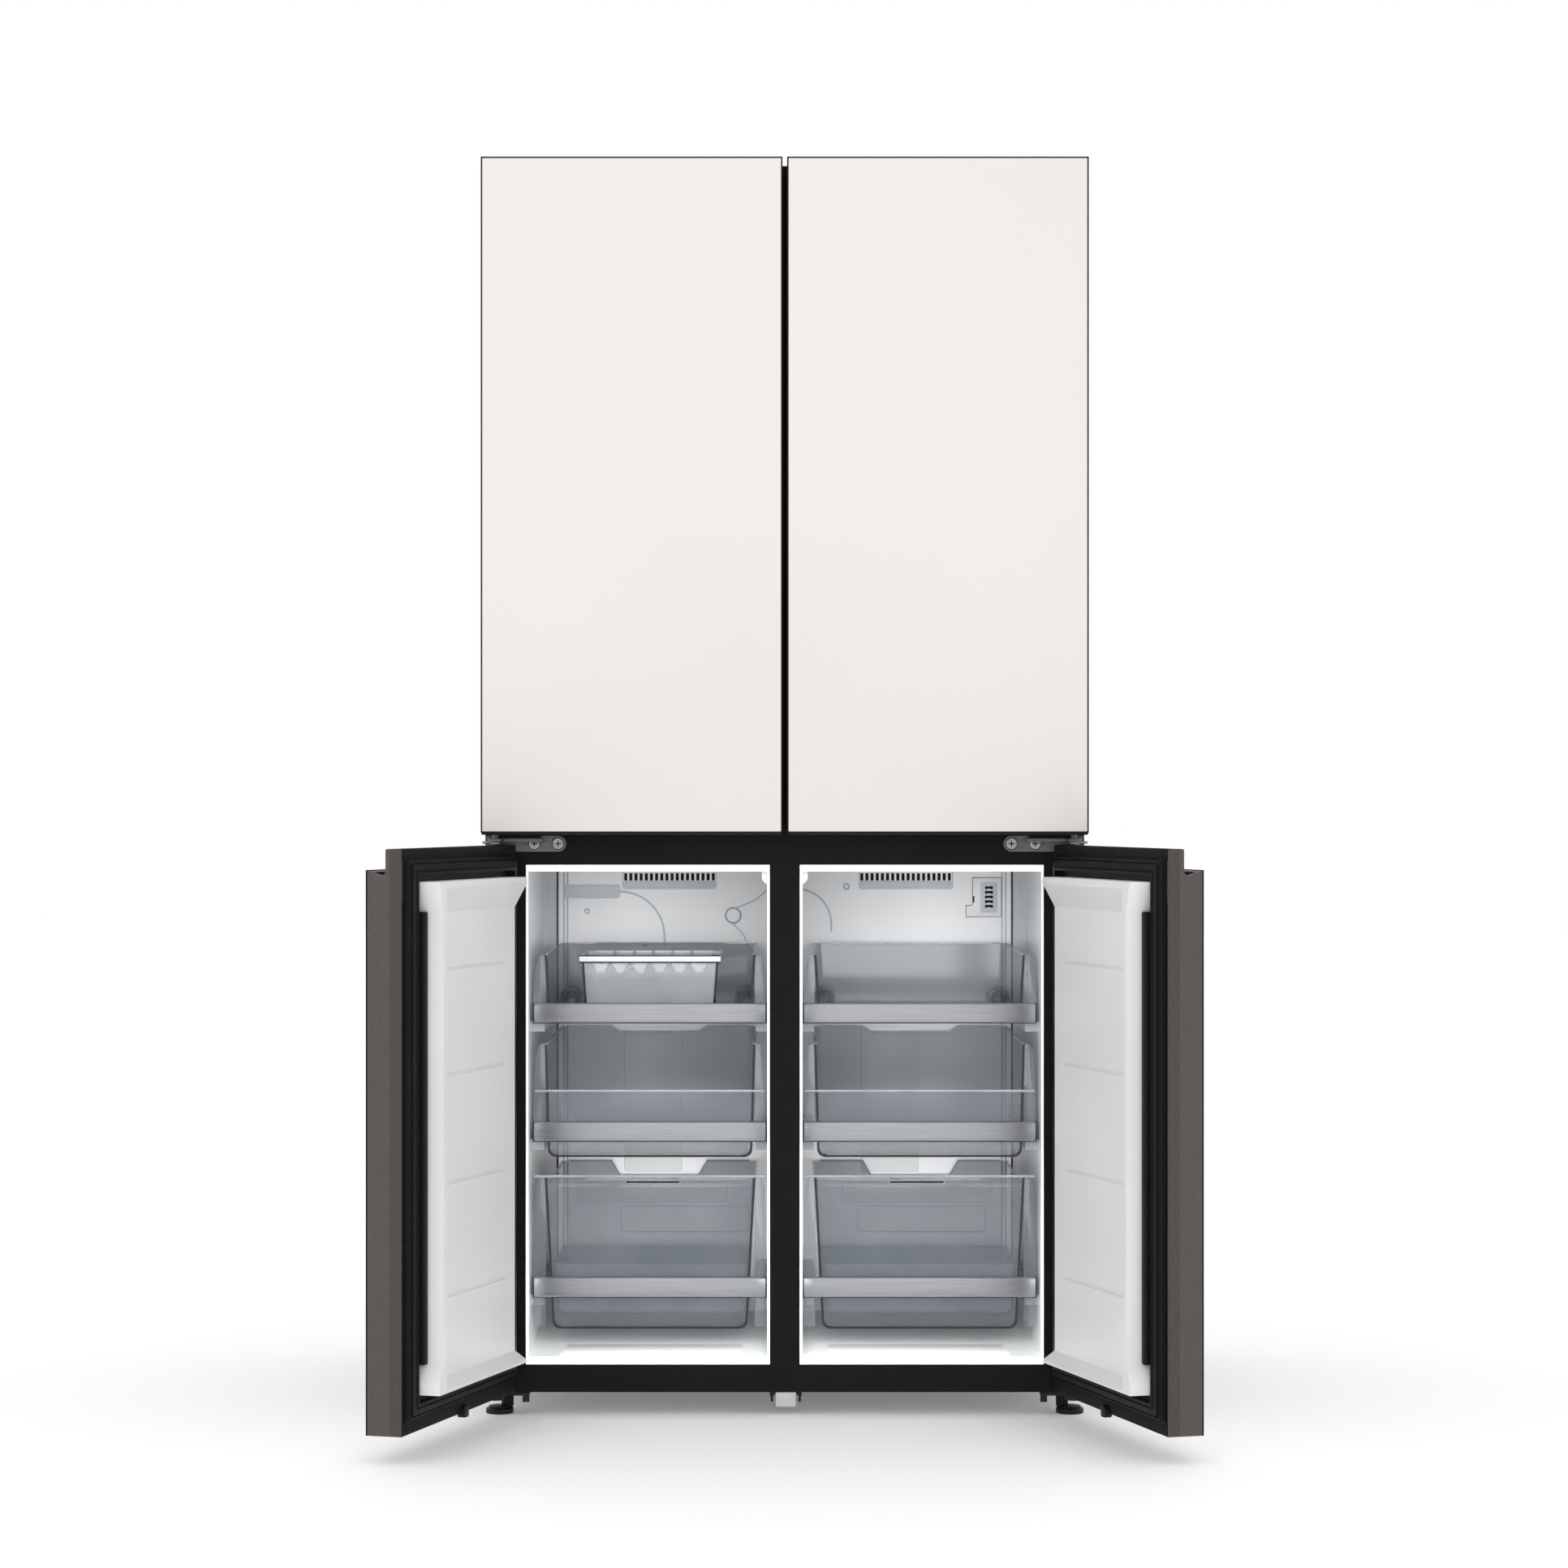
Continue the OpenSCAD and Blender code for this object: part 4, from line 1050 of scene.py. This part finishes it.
def crisper_boxes():
    boxes, fronts = [], []
    for side in (-1, 1):
        x = (-374, -10) if side < 0 else (10, 374)
        boxes.append(open_bin(x, (200, 660), (924, 1082), 4, 10, 14, wall=2.6))
        fronts.append(block(x, (193, 200.5), (924, 1094), 3, 4))
        fronts.append(block((x[0] + 34, x[1] - 34), (181, 194), (1071, 1083), 3, 4))
    fit(join(boxes), "crisper_boxes", "cabinet", CLEAR, stands_for=["crispers"])
    fit(join(fronts), "crisper_fronts", "cabinet", CRISPER_FRONT)


def post_ends():
    """Black plates over the ends of the upper post, where it meets the room's rim."""
    low, high = reach("upper_mullion")[2]
    front = reach("upper_mullion")[1][0]
    for name, z in (("lower", (low - 13, low + 3)), ("upper", (high - 3, high + 13))):
        plate = block((-23, 23), (front - 0.25, front + 1.5), z, 0.2, 1)
        fit(plate, f"{name}_post_end", "cabinet", BLACK)


def shelf_trims():
    trims = []
    for z in (1104, 1330, 1560):
        trims.append(block((-388, 388), (188, 194), (z - 2, z + 8), 1.6, 3))
        trims.append(block((-388, 388), (664, 670.5), (z - 1, z + 9), 1.6, 3))
    fit(join(trims), "shelf_trims", "cabinet", WHITE_PLASTIC)
    lamp = block((-90, 90), (300, 380), (1823.4, 1828.6), 2, 3)
    fit(lamp, "room_lamp", "cabinet", LAMP)


door_bins()
crisper_boxes()
post_ends()
shelf_trims()


# ---------------------------------------------------------------- camera, floor and light
def area_lamp(name, spot, target, size, energy):
    """An area light at a spot in metres, its x, distance before the doors and z, facing another."""
    bpy.ops.object.light_add(type="AREA", location=(spot[0], FRONT - spot[1], spot[2]))
    lamp = bpy.context.object
    lamp.name = "studio_" + name
    lamp.data.size = size
    lamp.data.energy = energy
    heading = Vector((target[0], FRONT - target[1], target[2])) - lamp.location
    lamp.rotation_euler = heading.to_track_quat("-Z", "Y").to_euler()
    return lamp


def stage():
    """The camera, the pale floor, the even sky, one front light and the lights of the bays."""
    bpy.ops.object.camera_add(location=(0, FRONT - 6.0, 0.946),
                              rotation=(math.radians(90), 0, 0))
    camera = bpy.context.object
    camera.data.sensor_width = 36
    camera.data.lens = 92.25
    camera.data.shift_x = -0.0005
    camera.data.shift_y = 0.003
    camera.data.clip_end = 100
    bpy.context.scene.camera = camera
    bpy.ops.mesh.primitive_plane_add(size=40, location=(0, 0, 0))
    floor = bpy.context.object
    floor.name = "studio_floor"
    paper, tree, shader, spots = finish("white_studio_paper", "#FCFCFC", 0.9,
                                        Emission_Strength=0.12)
    shader.inputs["Emission Color"].default_value = linear("#FFFFFF")
    relief(tree, shader, grains(tree, spots, 6), 0.02, 0.1)
    floor.data.materials.append(paper)
    world = bpy.data.worlds.new("studio")
    bpy.context.scene.world = world
    world.use_nodes = True
    sky = world.node_tree.nodes["Background"]
    sky.inputs["Color"].default_value = (1, 1, 1, 1)
    sky.inputs["Strength"].default_value = 1.0
    area_lamp("front", (0, 4.4, 2.3), (0, 0, 0.3), 3.4, 7)
    inside = bpy.data.collections.new("lit_inside")
    floors = bpy.data.collections.new("lit_bay_floors")
    for piece in bpy.context.scene.objects:
        if piece.type == "MESH" and piece.data.materials[0] in INSIDE_FINISHES:
            inside.objects.link(piece)
            if piece.data.materials[0] in (LINER, FREEZER_WALL):
                floors.objects.link(piece)
    lamp = area_lamp("bay_floors", (0, 0.5, 0.3), (0, -0.38, 0.12), 0.8, 2.2)
    lamp.data.shape = "RECTANGLE"
    lamp.data.size_y = 0.12
    lamp.data.spread = math.radians(44)
    lamp.visible_camera = False
    lamp.light_linking.receiver_collection = floors
    for name, x, z, power in (("left", -0.55, 0.9, 5.2), ("right", 0.55, 0.9, 5.2),
                              ("low", 0, 0.3, 1.6)):
        lamp = area_lamp(name, (x, 2.6, z), (0, -0.4, 0.45), 1.0, power)
        lamp.visible_glossy = name != "low"
        lamp.data.spread = math.radians(80)
        lamp.light_linking.receiver_collection = inside
    bpy.context.scene.view_settings.view_transform = "Standard"


stage()
